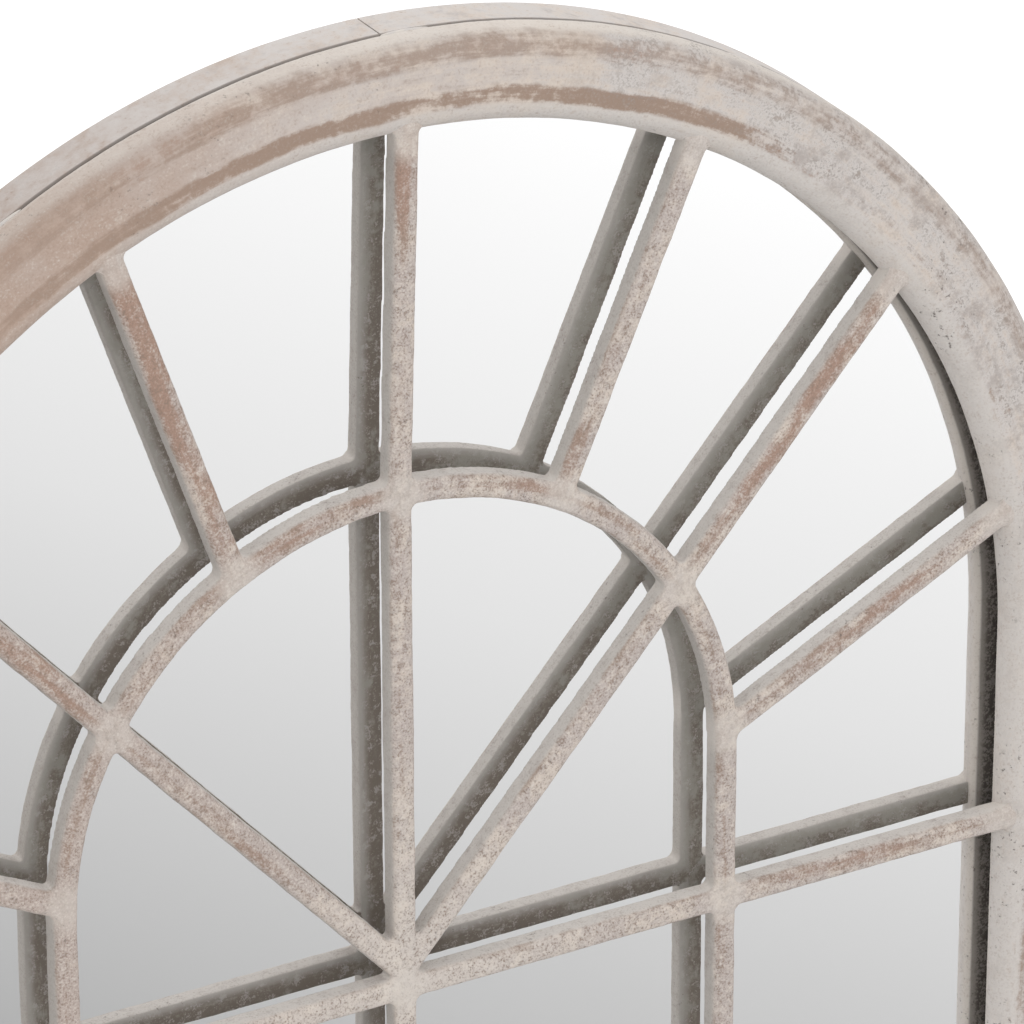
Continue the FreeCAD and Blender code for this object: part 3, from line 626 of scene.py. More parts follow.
class BarPaint(Recipe):
    """Grainy whitewash on the bars: pale in front, grey at the sides, dark behind."""

    def __init__(self):
        super().__init__("distressed_bars", 0.84)
        self.across = self.attribute("across")
        self.weld = self.attribute("weld")
        self.rub = self.attribute("rub")
        self.turned = self.facing("Y", -1.0)
        self.front = self.span(self.turned, 0.10, 0.85)
        self.texture("patches", 26.0, 4.0, 0.6)
        self.texture("blotch", 70.0, 5.0, 0.70)
        self.texture("mottle", 210.0, 5.0, 0.70)
        self.texture("grain", 1000.0, 2.0, 0.6)
        brush = self.combine(self.times(self.attribute("along"), 26.0), self.times(self.across, 1.7))
        self.texture("streak", 1.0, 4.0, 0.62, brush)
        self.calm = self.minus(1.0, self.times(self.weld, 0.40))

    def wash(self):
        """Cream and pink in front, warmer to the left, and smooth grey at the sides, with painted light:
        paler fog on the sides that look up.
        """
        warm = self.span(self.axis("X"), -0.25, 0.05, 0.16, 0.0)
        share = self.plus(self.blend(patches=0.9, blotch=0.9, mottle=0.5), warm)
        face = self.mix(self.span(share, -0.22, 0.12), "cream", "pink")
        face = self.mix(self.times(warm, 2.4), face, "tan")
        # Painted light: sides that look up are coated paler fog, as if lit from above.
        above = self.span(self.facing("Z", 1.0), 0.35, 0.95, 0.0, 0.75)
        self.base = self.mix(self.front, self.mix(above, "grey", "fog_and_top_light"), face)
        dull = self.span(self.blend(blotch=-1.3, mottle=1.0), 0.02, 0.34, 0.0, 0.55)
        self.coat(dull, "pewter")

    def wear(self):
        """Shows the ground on the fronts and along their edges, and returns where the fronts are worn."""
        lean = self.times(self.blend(patches=2.4), self.across)
        level = self.plus(self.blend(streak=1.2, grain=0.4, mottle=0.9), lean)
        level = self.plus(level, self.times(self.rub, 0.57))
        level = self.plus(level, self.span(self.away(self.across, 0.30), 0.0, 1.0, 0.12, -0.24))
        worn = self.times(self.times(self.span(level, 0.04, 0.66), self.front), self.calm)
        ground = self.mix(self.span(self.rub, 0.20, 0.85, 0.15, 0.85), "brown", "rust")
        self.coat(self.times(worn, 0.84), ground)
        edge = self.span(self.away(self.turned, 0.55), 0.05, 0.35, 1.0, 0.0)
        edge = self.times(edge, self.span(self.blend(streak=1.0, mottle=0.6), -0.06, 0.18))
        self.coat(self.times(self.times(edge, self.calm), 0.55), "brown")
        return worn

    def speckle(self, worn):
        """Pale wash about the hub and on the welds, with pale and dark grains all over."""
        hub = self.away(self.axis("Z"), RAIL_LEVELS["upper"])
        hub = self.plus(hub, self.maths("ABSOLUTE", self.axis("X")))
        self.coat(self.times(self.span(hub, 0.02, 0.16, 0.46, 0.0), self.front), "lime_and_painted_light")
        fine = self.blend(grain=1.4, mottle=0.7)
        whole = self.minus(1.0, self.times(worn, 0.6))
        light = self.times(self.span(fine, -0.01, -0.30, 0.0, 0.62), whole)
        self.coat(self.times(light, self.line(self.front, 0.75, 0.25)), "lime_and_painted_light")
        dark = self.times(self.span(fine, 0.01, 0.30), self.line(self.front, 0.45, 0.35))
        self.coat(self.times(dark, self.calm), self.mix(0.5, "brown", "shade"))
        self.coat(self.times(self.weld, 0.42), "lime_and_painted_light")

    def stain_backs(self):
        """Dark paint behind, with greenish and grey flecks where it is thin, and painted light: paler
        towards the edge of each back where across is positive.
        """
        far = self.away(self.axis("X"), -0.04)
        far = self.plus(far, self.times(self.axis("Z"), 0.45))
        far = self.span(self.plus(far, self.blend(patches=0.4)), 0.12, 0.28, 0.14, -0.20)
        # Painted light: the stain lifts towards the edge where across is positive, so each back looks lit
        # there.
        far = self.minus(far, self.times(self.across, 0.18))
        stain = self.plus(self.blend(streak=0.9, blotch=1.7, mottle=1.6), far)
        behind = self.mix(self.span(stain, -0.34, 0.16), "moss", "shade")
        # Dust and painted light: grey rises with across, shading each back from pale to dark, broken by
        # mottle and blotch.
        dust_and_painted_light = self.plus(self.across, self.blend(mottle=1.6, blotch=1.2))
        behind = self.mix(self.times(self.span(dust_and_painted_light, 0.00, 1.10), 0.85), behind, "grey")
        crackle = self.blend(grain=0.8, mottle=1.5, streak=0.5)
        behind = self.mix(self.span(crackle, 0.04, 0.24, 0.0, 0.70), behind, "grey")
        self.coat(self.span(self.turned, -0.25, -0.80), behind)

    def relief(self, worn):
        """Pits, and the roughness of the grain."""
        pits = self.times(self.pits(420.0, 36.0, 0.52, 0.64), self.calm)
        self.coat(self.times(pits, 0.6), "pit_and_painted_shade")
        height = self.blend(grain=-1.0, mottle=0.8)
        height = self.times(height, self.line(self.front, 0.7, 0.3))
        self.bump(self.minus(height, self.times(worn, 0.3)), 0.60, 0.0008)


def bar_paint():
    paint = BarPaint()
    paint.wash()
    worn = paint.wear()
    paint.speckle(worn)
    paint.stain_backs()
    paint.relief(worn)
    return paint.finish()


def weld_paint():
    """Smooth thick whitewash on the tack welds."""
    recipe = Recipe("distressed_tacks", 0.80)
    mottle = recipe.noise(160.0, 4.0, 0.6)
    recipe.base = recipe.mix(recipe.span(mottle, 0.35, 0.65), "lime_and_painted_light", "lilac")
    recipe.bump(recipe.noise(500.0, 3.0), 0.35, 0.0004)
    return recipe.finish()


def mirror_silver():
    """Silvered glass, as smooth as it can be."""
    recipe = Recipe("mirror_silver", 0.0, 1.0)
    recipe.base = "silver"
    return recipe.finish()


def gasket_foam():
    """Closed-cell foam with fine pores."""
    recipe = Recipe("gasket_foam", 0.9)
    pores = recipe.specks(900.0)
    recipe.base = recipe.mix(recipe.span(pores, 0.2, 0.7), "pore", "foam")
    spray = recipe.span(recipe.noise(520.0, 3.0, 0.7), 0.50, 0.60)
    recipe.coat(recipe.times(spray, 0.85), "lime_and_painted_light")
    recipe.bump(pores, 0.5, 0.0004)
    return recipe.finish()


def hardboard():
    """Pressed fibres, a little darker in clouds."""
    recipe = Recipe("hardboard", 0.72)
    fibres = recipe.noise(700.0, 4.0, 0.7, recipe.stretch((1.0, 1.0, 0.35)))
    clouds = recipe.noise(7.0, 4.0, 0.6)
    recipe.base = recipe.mix(recipe.span(clouds, 0.3, 0.7), colour("board", 0.82), "board")
    recipe.coat(recipe.times(recipe.span(fibres, 0.5, 0.75), 0.6), colour("board", 1.25))
    recipe.bump(fibres, 0.35, 0.0003)
    return recipe.finish()


def zinc_plate():
    """Dull plating with rolled scratches and a little white bloom."""
    recipe = Recipe("zinc_plate", 0.42, 1.0)
    scratches = recipe.noise(1600.0, 3.0, 0.6, recipe.stretch((1.0, 1.0, 0.06)))
    bloom = recipe.noise(180.0, 4.0, 0.6)
    recipe.base = recipe.mix(recipe.span(bloom, 0.35, 0.7), "zinc", colour("zinc", 0.62))
    recipe.feed(recipe.shader.inputs["Roughness"], recipe.span(bloom, 0.3, 0.75, 0.30, 0.62))
    recipe.bump(scratches, 0.25, 0.0001)
    return recipe.finish()


def primer_paint():
    """Dark brushed primer, scuffed to bare metal in places."""
    recipe = Recipe("back_primer", 0.66)
    brushed = recipe.noise(500.0, 3.0, vector=recipe.stretch((1.0, 1.0, 0.2)))
    scuffs = recipe.span(recipe.noise(160.0, 5.0, 0.7), 0.58, 0.70)
    recipe.base = recipe.mix(recipe.span(brushed, 0.35, 0.7), "primer", "shade")
    recipe.coat(recipe.times(scuffs, 0.7), "zinc")
    recipe.bump(recipe.minus(brushed, scuffs), 0.3, 0.0003)
    return recipe.finish()


# Frame


def add_section(inner_x, outer_x, front_y, back_y):
    """A rectangle on the springing line, to the right, left open in edit mode."""
    deselect()
    middle = ((inner_x + outer_x) / 2, (front_y + back_y) / 2, ARCH_CENTRE_Z)
    bpy.ops.mesh.primitive_plane_add(size=1, location=middle)
    obj = bpy.context.object
    obj.scale = (outer_x - inner_x, back_y - front_y, 1)
    settle()
    start_edit(obj)
    return obj


def round_corner(obj, x, y, radius, segments):
    pick(obj, "VERT", lambda vert: abs(vert.co.x - x) < SAME_PLACE and abs(vert.co.y - y) < SAME_PLACE)
    bpy.ops.mesh.bevel(offset=radius, offset_type="OFFSET", segments=segments, affect="VERTICES")


def divide_edges(obj, spacing):
    """Opens the section and cuts its long straight edges into runs of about one spacing."""
    bpy.ops.mesh.select_all(action="SELECT")
    bpy.ops.mesh.delete(type="ONLY_FACE")
    mesh = bmesh.from_edit_mesh(obj.data)
    lengths = sorted({round(edge.calc_length() / spacing) for edge in mesh.edges})
    for runs in lengths[::-1]:
        if runs < 2:
            continue
        pick(obj, "EDGE", lambda edge: round(edge.calc_length() / spacing) == runs)
        bpy.ops.mesh.subdivide(number_cuts=runs - 1)


def merge_points():
    """Makes doubled points one and turns all faces outwards."""
    bpy.ops.mesh.select_all(action="SELECT")
    bpy.ops.mesh.remove_doubles(threshold=MERGE_DISTANCE)
    bpy.ops.mesh.normals_make_consistent(inside=False)


def sweep_round(obj, steps, leg_cuts, rail_cuts):
    """Spins the section over the arch, draws it down both sides and joins the bottom."""
    bpy.ops.mesh.select_all(action="SELECT")
    bpy.ops.mesh.spin(steps=steps, angle=math.pi, center=(0, 0, ARCH_CENTRE_Z), axis=(0, 1, 0))
    pick(obj, "EDGE", lambda edge: all(abs(vert.co.z - ARCH_CENTRE_Z) < SAME_PLACE for vert in edge.verts))
    drop = BOTTOM_Z - ARCH_CENTRE_Z - HALF_WIDTH
    bpy.ops.mesh.extrude_region_move(TRANSFORM_OT_translate={"value": (0, 0, drop)})
    pick(obj, "EDGE", lambda edge: edge.calc_length() > HALF_WIDTH)
    bpy.ops.mesh.subdivide(number_cuts=leg_cuts)
    for side in (1, -1):
        pick(obj, "FACE", lambda face: face.calc_center_median().x * side > 0
             and face.calc_center_median().z < ARCH_CENTRE_Z)
        bpy.ops.mesh.bisect(plane_co=(side * HALF_WIDTH, 0, BOTTOM_Z), plane_no=(side, 0, 1),
                            clear_inner=True)
    pick(obj, "EDGE", lambda edge: edge.is_boundary)
    bpy.ops.mesh.bridge_edge_loops(number_cuts=rail_cuts, interpolation="LINEAR")
    merge_points()


def close_ends(obj):
    """Fills the open ends of a swept section."""
    pick(obj, "EDGE", lambda edge: edge.is_boundary)
    bpy.ops.mesh.fill_holes(sides=0)


def outward(points):
    """Distance of each point from the frame's middle line, as the section has it."""
    x, z = np.abs(points[:, 0]), points[:, 2]
    arch = np.hypot(x, z - ARCH_CENTRE_Z)
    below = np.maximum(x, HALF_WIDTH - (z - BOTTOM_Z))
    return np.where(z > ARCH_CENTRE_Z, arch, below)


def run_along(points):
    """Distance of each point along the frame from the right-hand springing."""
    x, z = points[:, 0], points[:, 2]
    arch = np.arctan2(z - ARCH_CENTRE_Z, x) * HALF_WIDTH
    right = z - ARCH_CENTRE_Z
    left = math.pi * HALF_WIDTH - right
    below = np.where(x > 0, right, left)
    rail = BOTTOM_Z - ARCH_CENTRE_Z + x - HALF_WIDTH
    on_rail = np.abs(x) < HALF_WIDTH - (z - BOTTOM_Z)
    return np.where(z > ARCH_CENTRE_Z, arch, np.where(on_rail, rail, below))


class MIRROR_OT_moulding(bpy.types.Operator):
    """Front moulding: one section swept over the arch, down the sides and mitred below"""

    bl_idname = "mirror.moulding"
    bl_label = "Front moulding"

    def execute(self, context):
        s = sizes()
        lip = HALF_WIDTH - s.moulding_width
        front = FRONT_Y + s.front_relief
        back = SEAM_Y - s.groove_gap / 2
        obj = add_section(lip, HALF_WIDTH, front, back)
        heel = back - front - s.nose_radius - HEEL_FLAT
        round_corner(obj, lip, front, s.nose_radius, segments=9)
        round_corner(obj, lip, back, heel, segments=4)
        round_corner(obj, HALF_WIDTH, front, s.shoulder_radius, segments=7)
        round_corner(obj, HALF_WIDTH, back, s.groove_chamfer, segments=1)
        divide_edges(obj, spacing=0.0024)
        shoulder_x = HALF_WIDTH - s.shoulder_radius
        pick(obj, "VERT", lambda vert: vert.co.y < front + SAME_PLACE
             and lip + FACE_START < vert.co.x < shoulder_x - FACE_END)
        bpy.ops.transform.translate(value=(0, s.face_recess, 0))
        sweep_round(obj, steps=440, leg_cuts=200, rail_cuts=140)
        end_edit()
        obj.name = "front_moulding"
        make_uneven(obj, wave=0.030, height=0.0005)
        make_uneven(obj, wave=0.006, height=0.0002)
        points = points_of(obj)
        store(obj, "across", outward(points) - lip)
        store(obj, "along", run_along(points))
        store(obj, "rub", spots(points, MOULDING_RUBS))
        nodes = ["front_arch_moulding", "front_left_moulding",
                 "front_right_moulding", "front_bottom_moulding"]
        finish_piece(obj, moulding_paint(), "frame", nodes)
        return {"FINISHED"}


class MIRROR_OT_rim(bpy.types.Operator):
    """Back rim: a strip on edge behind the moulding, butted at the top"""

    bl_idname = "mirror.rim"
    bl_label = "Back rim"

    def execute(self, context):
        s = sizes()
        front = SEAM_Y + s.groove_gap / 2
        back = -s.front_relief
        obj = add_section(RIM_INNER, HALF_WIDTH, front, back)
        round_corner(obj, HALF_WIDTH, front, s.groove_chamfer, segments=1)
        round_corner(obj, HALF_WIDTH, back, RIM_EDGE, segments=2)
        divide_edges(obj, spacing=0.0030)
        sweep_round(obj, steps=320, leg_cuts=150, rail_cuts=100)
        for side in (1, -1):
            pick(obj, "FACE", lambda face: face.calc_center_median().z > ARCH_CENTRE_Z + HALF_WIDTH / 2)
            bpy.ops.mesh.bisect(plane_co=(side * RIM_JOINT, 0, 0), plane_no=(side, 0, 0))
        pick(obj, "FACE", lambda face: abs(face.calc_center_median().x) < RIM_JOINT
             and face.calc_center_median().z > ARCH_CENTRE_Z)
        bpy.ops.mesh.delete(type="FACE")
        close_ends(obj)
        bpy.ops.mesh.select_all(action="SELECT")
        bpy.ops.mesh.normals_make_consistent(inside=False)
        end_edit()
        obj.name = "back_rim"
        make_uneven(obj, wave=0.030, height=0.0003)
        nodes = ["back_rim_left", "back_rim_right", "back_rim_bottom"]
        finish_piece(obj, rim_paint(), "frame", nodes)
        bpy.ops.object.shade_smooth_by_angle(angle=math.radians(RIM_SMOOTH_DEG))
        return {"FINISHED"}


def add_ball(centre, turn, scale, segments, rings):
    """A bead of weld: a ball drawn out along a direction in the plane of the mirror."""
    deselect()
    bpy.ops.mesh.primitive_uv_sphere_add(segments=segments, ring_count=rings, radius=1, location=centre,
                                         rotation=(0, -turn, 0), scale=scale)
    settle()
    return bpy.context.object


class MIRROR_OT_tacks(bpy.types.Operator):
    """Tack welds: flat beads that bridge the groove behind the moulding"""

    bl_idname = "mirror.tacks"
    bl_label = "Tack welds"

    arch_angles = (60.0, 88.2, 120.0)
    leg_shares = (0.2, 0.55, 0.9)
    rail_shares = (-0.6, 0.6)
    bead_section = (0.0012, 0.0017)
    bead_sink = 0.0009

    def places(self):
        """X, Z and outward angle of each bead."""
        for degrees in self.arch_angles:
            turn = math.radians(degrees)
            yield (HALF_WIDTH * math.cos(turn), ARCH_CENTRE_Z + HALF_WIDTH * math.sin(turn), turn)
        for share in self.leg_shares:
            level = ARCH_CENTRE_Z - share * (ARCH_CENTRE_Z - BOTTOM_Z)
            yield (HALF_WIDTH, level, 0.0)
            yield (-HALF_WIDTH, level, math.pi)
        for share in self.rail_shares:
            yield (share * HALF_WIDTH, BOTTOM_Z, -QUARTER_TURN)

    def execute(self, context):
        half = sizes().tack_length / 2
        beads = []
        for x, z, turn in self.places():
            centre = (x - self.bead_sink * math.cos(turn), SEAM_Y, z - self.bead_sink * math.sin(turn))
            beads.append(add_ball(centre, turn, (*self.bead_section, half), segments=32, rings=20))
        obj = join(beads, "tack_beads")
        make_uneven(obj, wave=0.004, height=0.0002)
        finish_piece(obj, weld_paint(), "frame", ["rim_tack_welds"])
        return {"FINISHED"}


# Grille


def meet_circle(angle_deg, height, radius, centre_z):
    """Where a line through (0, height) leaves a circle about (0, centre_z)."""
    turn = math.radians(angle_deg)
    drop = height - centre_z
    along = math.sin(turn) * drop
    reach = -along + math.sqrt(along ** 2 - drop ** 2 + radius ** 2)
    return Vector((math.cos(turn) * reach, height + math.sin(turn) * reach))


def add_bar(start, end):
    """A glazing bar between two (x, z) points, with its front edges rounded."""
    run = end - start
    middle = (start + end) / 2
    turn = math.atan2(run.x, run.y)
    deselect()
    coat = sizes().bar_coat
    size = (2 * (HALF_BAR + coat), BAR_BACK_Y - BAR_FRONT_Y, run.length)
    bpy.ops.mesh.primitive_cube_add(size=1, scale=size)
    settle()
    obj = bpy.context.object
    start_edit(obj)
    pick(obj, "EDGE", lambda edge: all(vert.co.y < 0 for vert in edge.verts)
         and edge.verts[0].co.x * edge.verts[1].co.x > 0)
    bpy.ops.mesh.bevel(offset=sizes().bar_edge, segments=3, affect="EDGES")
    end_edit()
    obj.rotation_euler = (0, turn, 0)
    obj.location = (middle.x, BAR_MIDDLE_Y - coat, middle.y)
    settle()
    return obj


def add_arch_bar():
    """The inner arch: the bar's section spun about the arch's centre."""
    coat = sizes().bar_coat
    half = HALF_BAR + coat
    deselect()
    bpy.ops.mesh.primitive_plane_add(size=1, location=(INNER_RADIUS, BAR_MIDDLE_Y - coat, INNER_CENTRE_Z))
    obj = bpy.context.object
    obj.scale = (2 * half, BAR_BACK_Y - BAR_FRONT_Y, 1)
    settle()
    start_edit(obj)
    for side in (1, -1):
        round_corner(obj, INNER_RADIUS + side * half, BAR_FRONT_Y - coat, sizes().bar_edge, segments=3)
    bpy.ops.mesh.select_all(action="SELECT")
    bpy.ops.mesh.spin(steps=120, angle=math.pi, center=(0, 0, INNER_CENTRE_Z), axis=(0, 1, 0))
    close_ends(obj)
    merge_points()
    end_edit()
    return obj


def corner_of(first, second):
    """Where the facing edges of two bars meet; a bar is (base point, angle)."""
    (a, first_turn), (b, second_turn) = first, second
    a = a + Vector((-math.sin(first_turn), math.cos(first_turn))) * HALF_BAR
    b = b - Vector((-math.sin(second_turn), math.cos(second_turn))) * HALF_BAR
    cross = math.sin(second_turn - first_turn)
    along = ((b.x - a.x) * math.sin(second_turn) - (b.y - a.y) * math.cos(second_turn)) / cross
    return a + Vector((math.cos(first_turn), math.sin(first_turn))) * along


def add_wedge(corner, middle, half, sink):
    """A weld in a corner: a three-sided block with its point sunk into the corner."""
    reach = sizes().web_reach
    height = reach * math.cos(half)
    width = reach * math.sin(half)
    grow = (height + sink) / height
    depth = (BAR_BACK_Y - BAR_FRONT_Y) * WEB_DEPTH_SHARE
    centre = corner + Vector((math.cos(middle), math.sin(middle))) * ((height + sink) * 2 / 3 - sink)
    turn = math.atan2(-math.cos(middle), -math.sin(middle))
    deselect()
    bpy.ops.mesh.primitive_cylinder_add(
        vertices=3, radius=1, depth=1, location=(centre.x, BAR_MIDDLE_Y, centre.y),
        rotation=(QUARTER_TURN, turn, 0),
        scale=(width * grow / math.sin(math.pi / 3), (height + sink) / 1.5, depth))
    settle()
    return bpy.context.object


def add_webs(bars, sink=WEB_SINK):
    """Welds in the corners between the bars that leave one junction."""
    bars = sorted(bars, key=lambda bar: bar[1] % (2 * math.pi))
    wedges = []
    for place, first in enumerate(bars):
        second = bars[(place + 1) % len(bars)]
        gap = (second[1] - first[1]) % (2 * math.pi)
        if math.radians(WEB_LEAST_DEG) < gap < math.radians(WEB_MOST_DEG):
            wedges.append(add_wedge(corner_of(first, second), first[1] + gap / 2, gap / 2, sink))
    return wedges


def add_flare(point, turn, tangent):
    """The weld where a bar that runs along turn enters the moulding's nose."""
    outside = Vector((math.sin(tangent), -math.cos(tangent)))
    lip = point + outside * (HALF_BAR + FLARE_OVERHANG)
    bars = [(point, turn + math.pi), (lip, tangent), (lip, tangent + math.pi)]
    pillow = point + outside * PILLOW_OUT
    centre = (pillow.x, BAR_FRONT_Y + PILLOW_BACK, pillow.y)
    ball = add_ball(centre, tangent, PILLOW_SIZE, segments=24, rings=14)
    return add_webs(bars, FLARE_SINK) + [ball]


def weld_mesh(parts, name, voxel, most_triangles):
    """Melts bars and welds into one skin, softens it and thins it out."""
    obj = join(parts, name)
    apply_modifier(obj, "REMESH", mode="VOXEL", voxel_size=voxel)
    apply_modifier(obj, "SMOOTH", factor=0.5, iterations=3)
    make_uneven(obj, wave=0.022, height=0.0006)
    make_uneven(obj, wave=0.005, height=0.0003)
    triangles = sum(len(face.vertices) - 2 for face in obj.data.polygons)
    if triangles > most_triangles:
        apply_modifier(obj, "DECIMATE", ratio=most_triangles / triangles)
    return obj


def store_bar_wear(obj, lines, arch, junctions):
    """Numbers for the paint: place along and across the nearest bar, weld and rub."""
    points = points_of(obj)
    flat = points[:, [0, 2]]
    nearest = np.full(len(points), np.inf)
    along = np.zeros(len(points))
    across = np.zeros(len(points))
    for number, (start, end) in enumerate(lines):
        run = np.array(end - start)
        reach = np.linalg.norm(run)
        run = run / reach
        offset = flat - np.array(start)
        place = np.clip(offset @ run, 0, reach)
        side = offset @ np.array([-run[1], run[0]]) * (1 if run[0] + run[1] > 0 else -1)
        distance = np.linalg.norm(offset - place[:, None] * run, axis=1)
        closer = distance < nearest
        nearest = np.where(closer, distance, nearest)
        along = np.where(closer, place + BAR_PATTERN_STEP * number, along)
        across = np.where(closer, side / HALF_BAR, across)
    if arch:
        offset = flat - np.array([0.0, INNER_CENTRE_Z])
        side = np.hypot(offset[:, 0], offset[:, 1]) - INNER_RADIUS
        closer = (np.abs(side) < nearest) & (offset[:, 1] > 0)
        place = np.arctan2(offset[:, 1], offset[:, 0]) * INNER_RADIUS + ARCH_PATTERN_START
        along = np.where(closer, place, along)
        left = np.where(offset[:, 1] > offset[:, 0], 1, -1)
        across = np.where(closer, left * side / HALF_BAR, across)
    weld = np.zeros(len(points))
    for x, z in junctions:
        distance = np.hypot(flat[:, 0] - x, flat[:, 1] - z)
        weld = np.maximum(weld, 1 - smoothstep(*WELD_SHOWS, distance))
    store(obj, "along", along)
    store(obj, "across", across)
    store(obj, "weld", weld)
    store(obj, "rub", spots(points, BAR_RUBS))


def rail_bar(name):
    """One rail from side to side, let into both mouldings."""
    end = HALF_WIDTH - sizes().moulding_width + BAR_LET_IN
    level = RAIL_LEVELS[name]
    return Vector((-end, level)), Vector((end, level))


def transoms(row):
    """Names of the four solids of one rail."""
    return ["transom_" + row + "_" + place for place in ("far_left", "near_left", "near_right", "far_right")]


def crossing_bars(point):
    """The four bars that leave a square crossing."""
    return [(point, QUARTER_TURN * step) for step in range(4)]


class Grille:
    """Bars and welds of one part of the grille, gathered before they are melted together."""

    def __init__(self, *lines):
        self.lines = list(lines)
        self.webs = []
        self.flares = []
        self.junctions = []

    def meet(self, point, bars):
        """Welds between the bars that leave a point; a bar is (base point, angle)."""
        self.webs.append(bars)
        self.junctions.append(tuple(point))

    def cross(self, point):
        """Welds at a square crossing."""
        self.meet(point, crossing_bars(point))

    def enter(self, foot, turn, tangent):
        """The weld where a bar that runs along turn enters the moulding."""
        self.flares.append((foot, turn, tangent))
        self.junctions.append(tuple(foot))

    def enter_sides(self, level):
        """The welds at both ends of a rail."""
        lip = HALF_WIDTH - sizes().moulding_width
        for side in (1, -1):
            self.enter(Vector((side * lip, level)), QUARTER_TURN * (1 - side), side * QUARTER_TURN)

    def melt(self, name, arch, voxel, most_triangles):
        """One skin over all bars and welds, with the numbers that the paint reads."""
        parts = [add_bar(start, end) for start, end in self.lines]
        if arch:
            parts.append(add_arch_bar())
        for bars in self.webs:
            parts += add_webs(bars)
        for flare in self.flares:
            parts += add_flare(*flare)
        obj = weld_mesh(parts, name, voxel, most_triangles)
        store_bar_wear(obj, self.lines, arch, self.junctions)
        return obj


class MIRROR_OT_sunburst(bpy.types.Operator):
    """Upper grille: inner arch, spokes, diagonals and upper rail, melted together"""

    bl_idname = "mirror.sunburst"
    bl_label = "Sunburst grille"

    def add_diagonals(self, grille):
        """Bars from the hub to the inner arch; returns each one's end, by the spoke that goes on from it."""
        ends = {}
        for name, (degrees, share) in DIAGONAL_LINES.items():
            height = share * INNER_RADIUS
            end = meet_circle(degrees, height, INNER_RADIUS, INNER_CENTRE_Z)
            grille.lines.append((Vector((0.0, height)), end))
            ends[name.replace("diagonal", "spoke") + "_middle"] = (end, math.radians(degrees) + math.pi)
        return ends

    def add_spokes(self, grille, diagonal_ends, lip):
        """Bars from the inner arch into the moulding."""
        for name, (degrees, share) in SPOKE_LINES.items():
            height = share * INNER_RADIUS
            turn = math.radians(degrees)
            start = meet_circle(degrees, height, INNER_RADIUS, INNER_CENTRE_Z)
            foot = meet_circle(degrees, height, lip, ARCH_CENTRE_Z)
            grille.lines.append((start, meet_circle(degrees, height, lip + BAR_LET_IN, ARCH_CENTRE_Z)))
            tangent = math.atan2(start.y - INNER_CENTRE_Z, start.x) + QUARTER_TURN
            bars = [(start, tangent), (start, tangent + math.pi), (start, turn)]
            if name in diagonal_ends:
                bars.append(diagonal_ends[name])
            grille.meet(start, bars)
            grille.enter(foot, turn, math.atan2(foot.y - ARCH_CENTRE_Z, foot.x) + QUARTER_TURN)

    def execute(self, context):
        lip = HALF_WIDTH - sizes().moulding_width
        arch_top = Vector((0.0, INNER_CENTRE_Z + INNER_RADIUS))
        lean = math.radians(MULLION_LEAN_DEG)
        upright = QUARTER_TURN - lean

        def mullion_at(level):
            return Vector((math.tan(lean) * (level - arch_top.y), level))

        grille = Grille(rail_bar("upper"), (arch_top, mullion_at(lip + BAR_LET_IN + ARCH_CENTRE_Z)),
                        (Vector((0.0, GRILLE_SPLIT_Z)), arch_top))
        for x in (INNER_RADIUS, -INNER_RADIUS):
            grille.lines.append((Vector((x, GRILLE_SPLIT_Z)), Vector((x, INNER_CENTRE_Z))))
        self.add_spokes(grille, self.add_diagonals(grille), lip)
        hub = Vector((0.0, 0.0))
        diagonals = [(Vector((0.0, share * INNER_RADIUS)), math.radians(degrees))
                     for degrees, share in DIAGONAL_LINES.values()]
        grille.meet(hub, crossing_bars(hub) + diagonals)
        grille.meet(arch_top, [(arch_top, turn) for turn in (0.0, math.pi, -QUARTER_TURN, upright)])
        grille.enter(mullion_at(lip + ARCH_CENTRE_Z), upright, math.pi)
        for x in (INNER_RADIUS, -INNER_RADIUS):
            grille.cross(Vector((x, 0.0)))
        grille.enter_sides(0.0)
        obj = grille.melt("grille_sunburst", arch=True, voxel=0.0011, most_triangles=185000)
        nodes = ["inner_arch_bar", "upper_mullion", "grille_welds", *SPOKE_LINES, *DIAGONAL_LINES,
                 *transoms("upper")]
        finish_piece(obj, bar_paint(), "frame", nodes)
        return {"FINISHED"}


class MIRROR_OT_lower_grille(bpy.types.Operator):
    """Lower grille: legs, mullion and two rails, melted together"""

    bl_idname = "mirror.lower_grille"
    bl_label = "Lower grille"

    def execute(self, context):
        low = BOTTOM_Z + sizes().moulding_width
        columns = (-INNER_RADIUS, 0.0, INNER_RADIUS)
        grille = Grille(rail_bar("middle"), rail_bar("lower"))
        for x in columns:
            grille.lines.append((Vector((x, low - BAR_LET_IN)), Vector((x, GRILLE_SPLIT_Z))))
        for row in ("middle", "lower"):
            for x in columns:
                grille.cross(Vector((x, RAIL_LEVELS[row])))
            grille.enter_sides(RAIL_LEVELS[row])
        for x in columns:
            grille.enter(Vector((x, low)), -QUARTER_TURN, 0.0)
        obj = grille.melt("grille_lower", arch=False, voxel=0.0014, most_triangles=150000)
        nodes = ["left_leg_bar", "right_leg_bar", "lower_mullion", *transoms("middle"), *transoms("lower")]
        finish_piece(obj, bpy.data.materials["distressed_bars"], "frame", nodes)
        return {"FINISHED"}


# Glazing and back


class MIRROR_OT_glazing(bpy.types.Operator):
    """Mirror pane, foam gasket and backing board"""

    bl_idname = "mirror.glazing"
    bl_label = "Glazing"

    def execute(self, context):
        dress_nodes(["mirror_glass"], mirror_silver())
        dress_nodes(["glazing_gasket"], gasket_foam())
        dress_nodes(["backing_board"], hardboard())
        return {"FINISHED"}


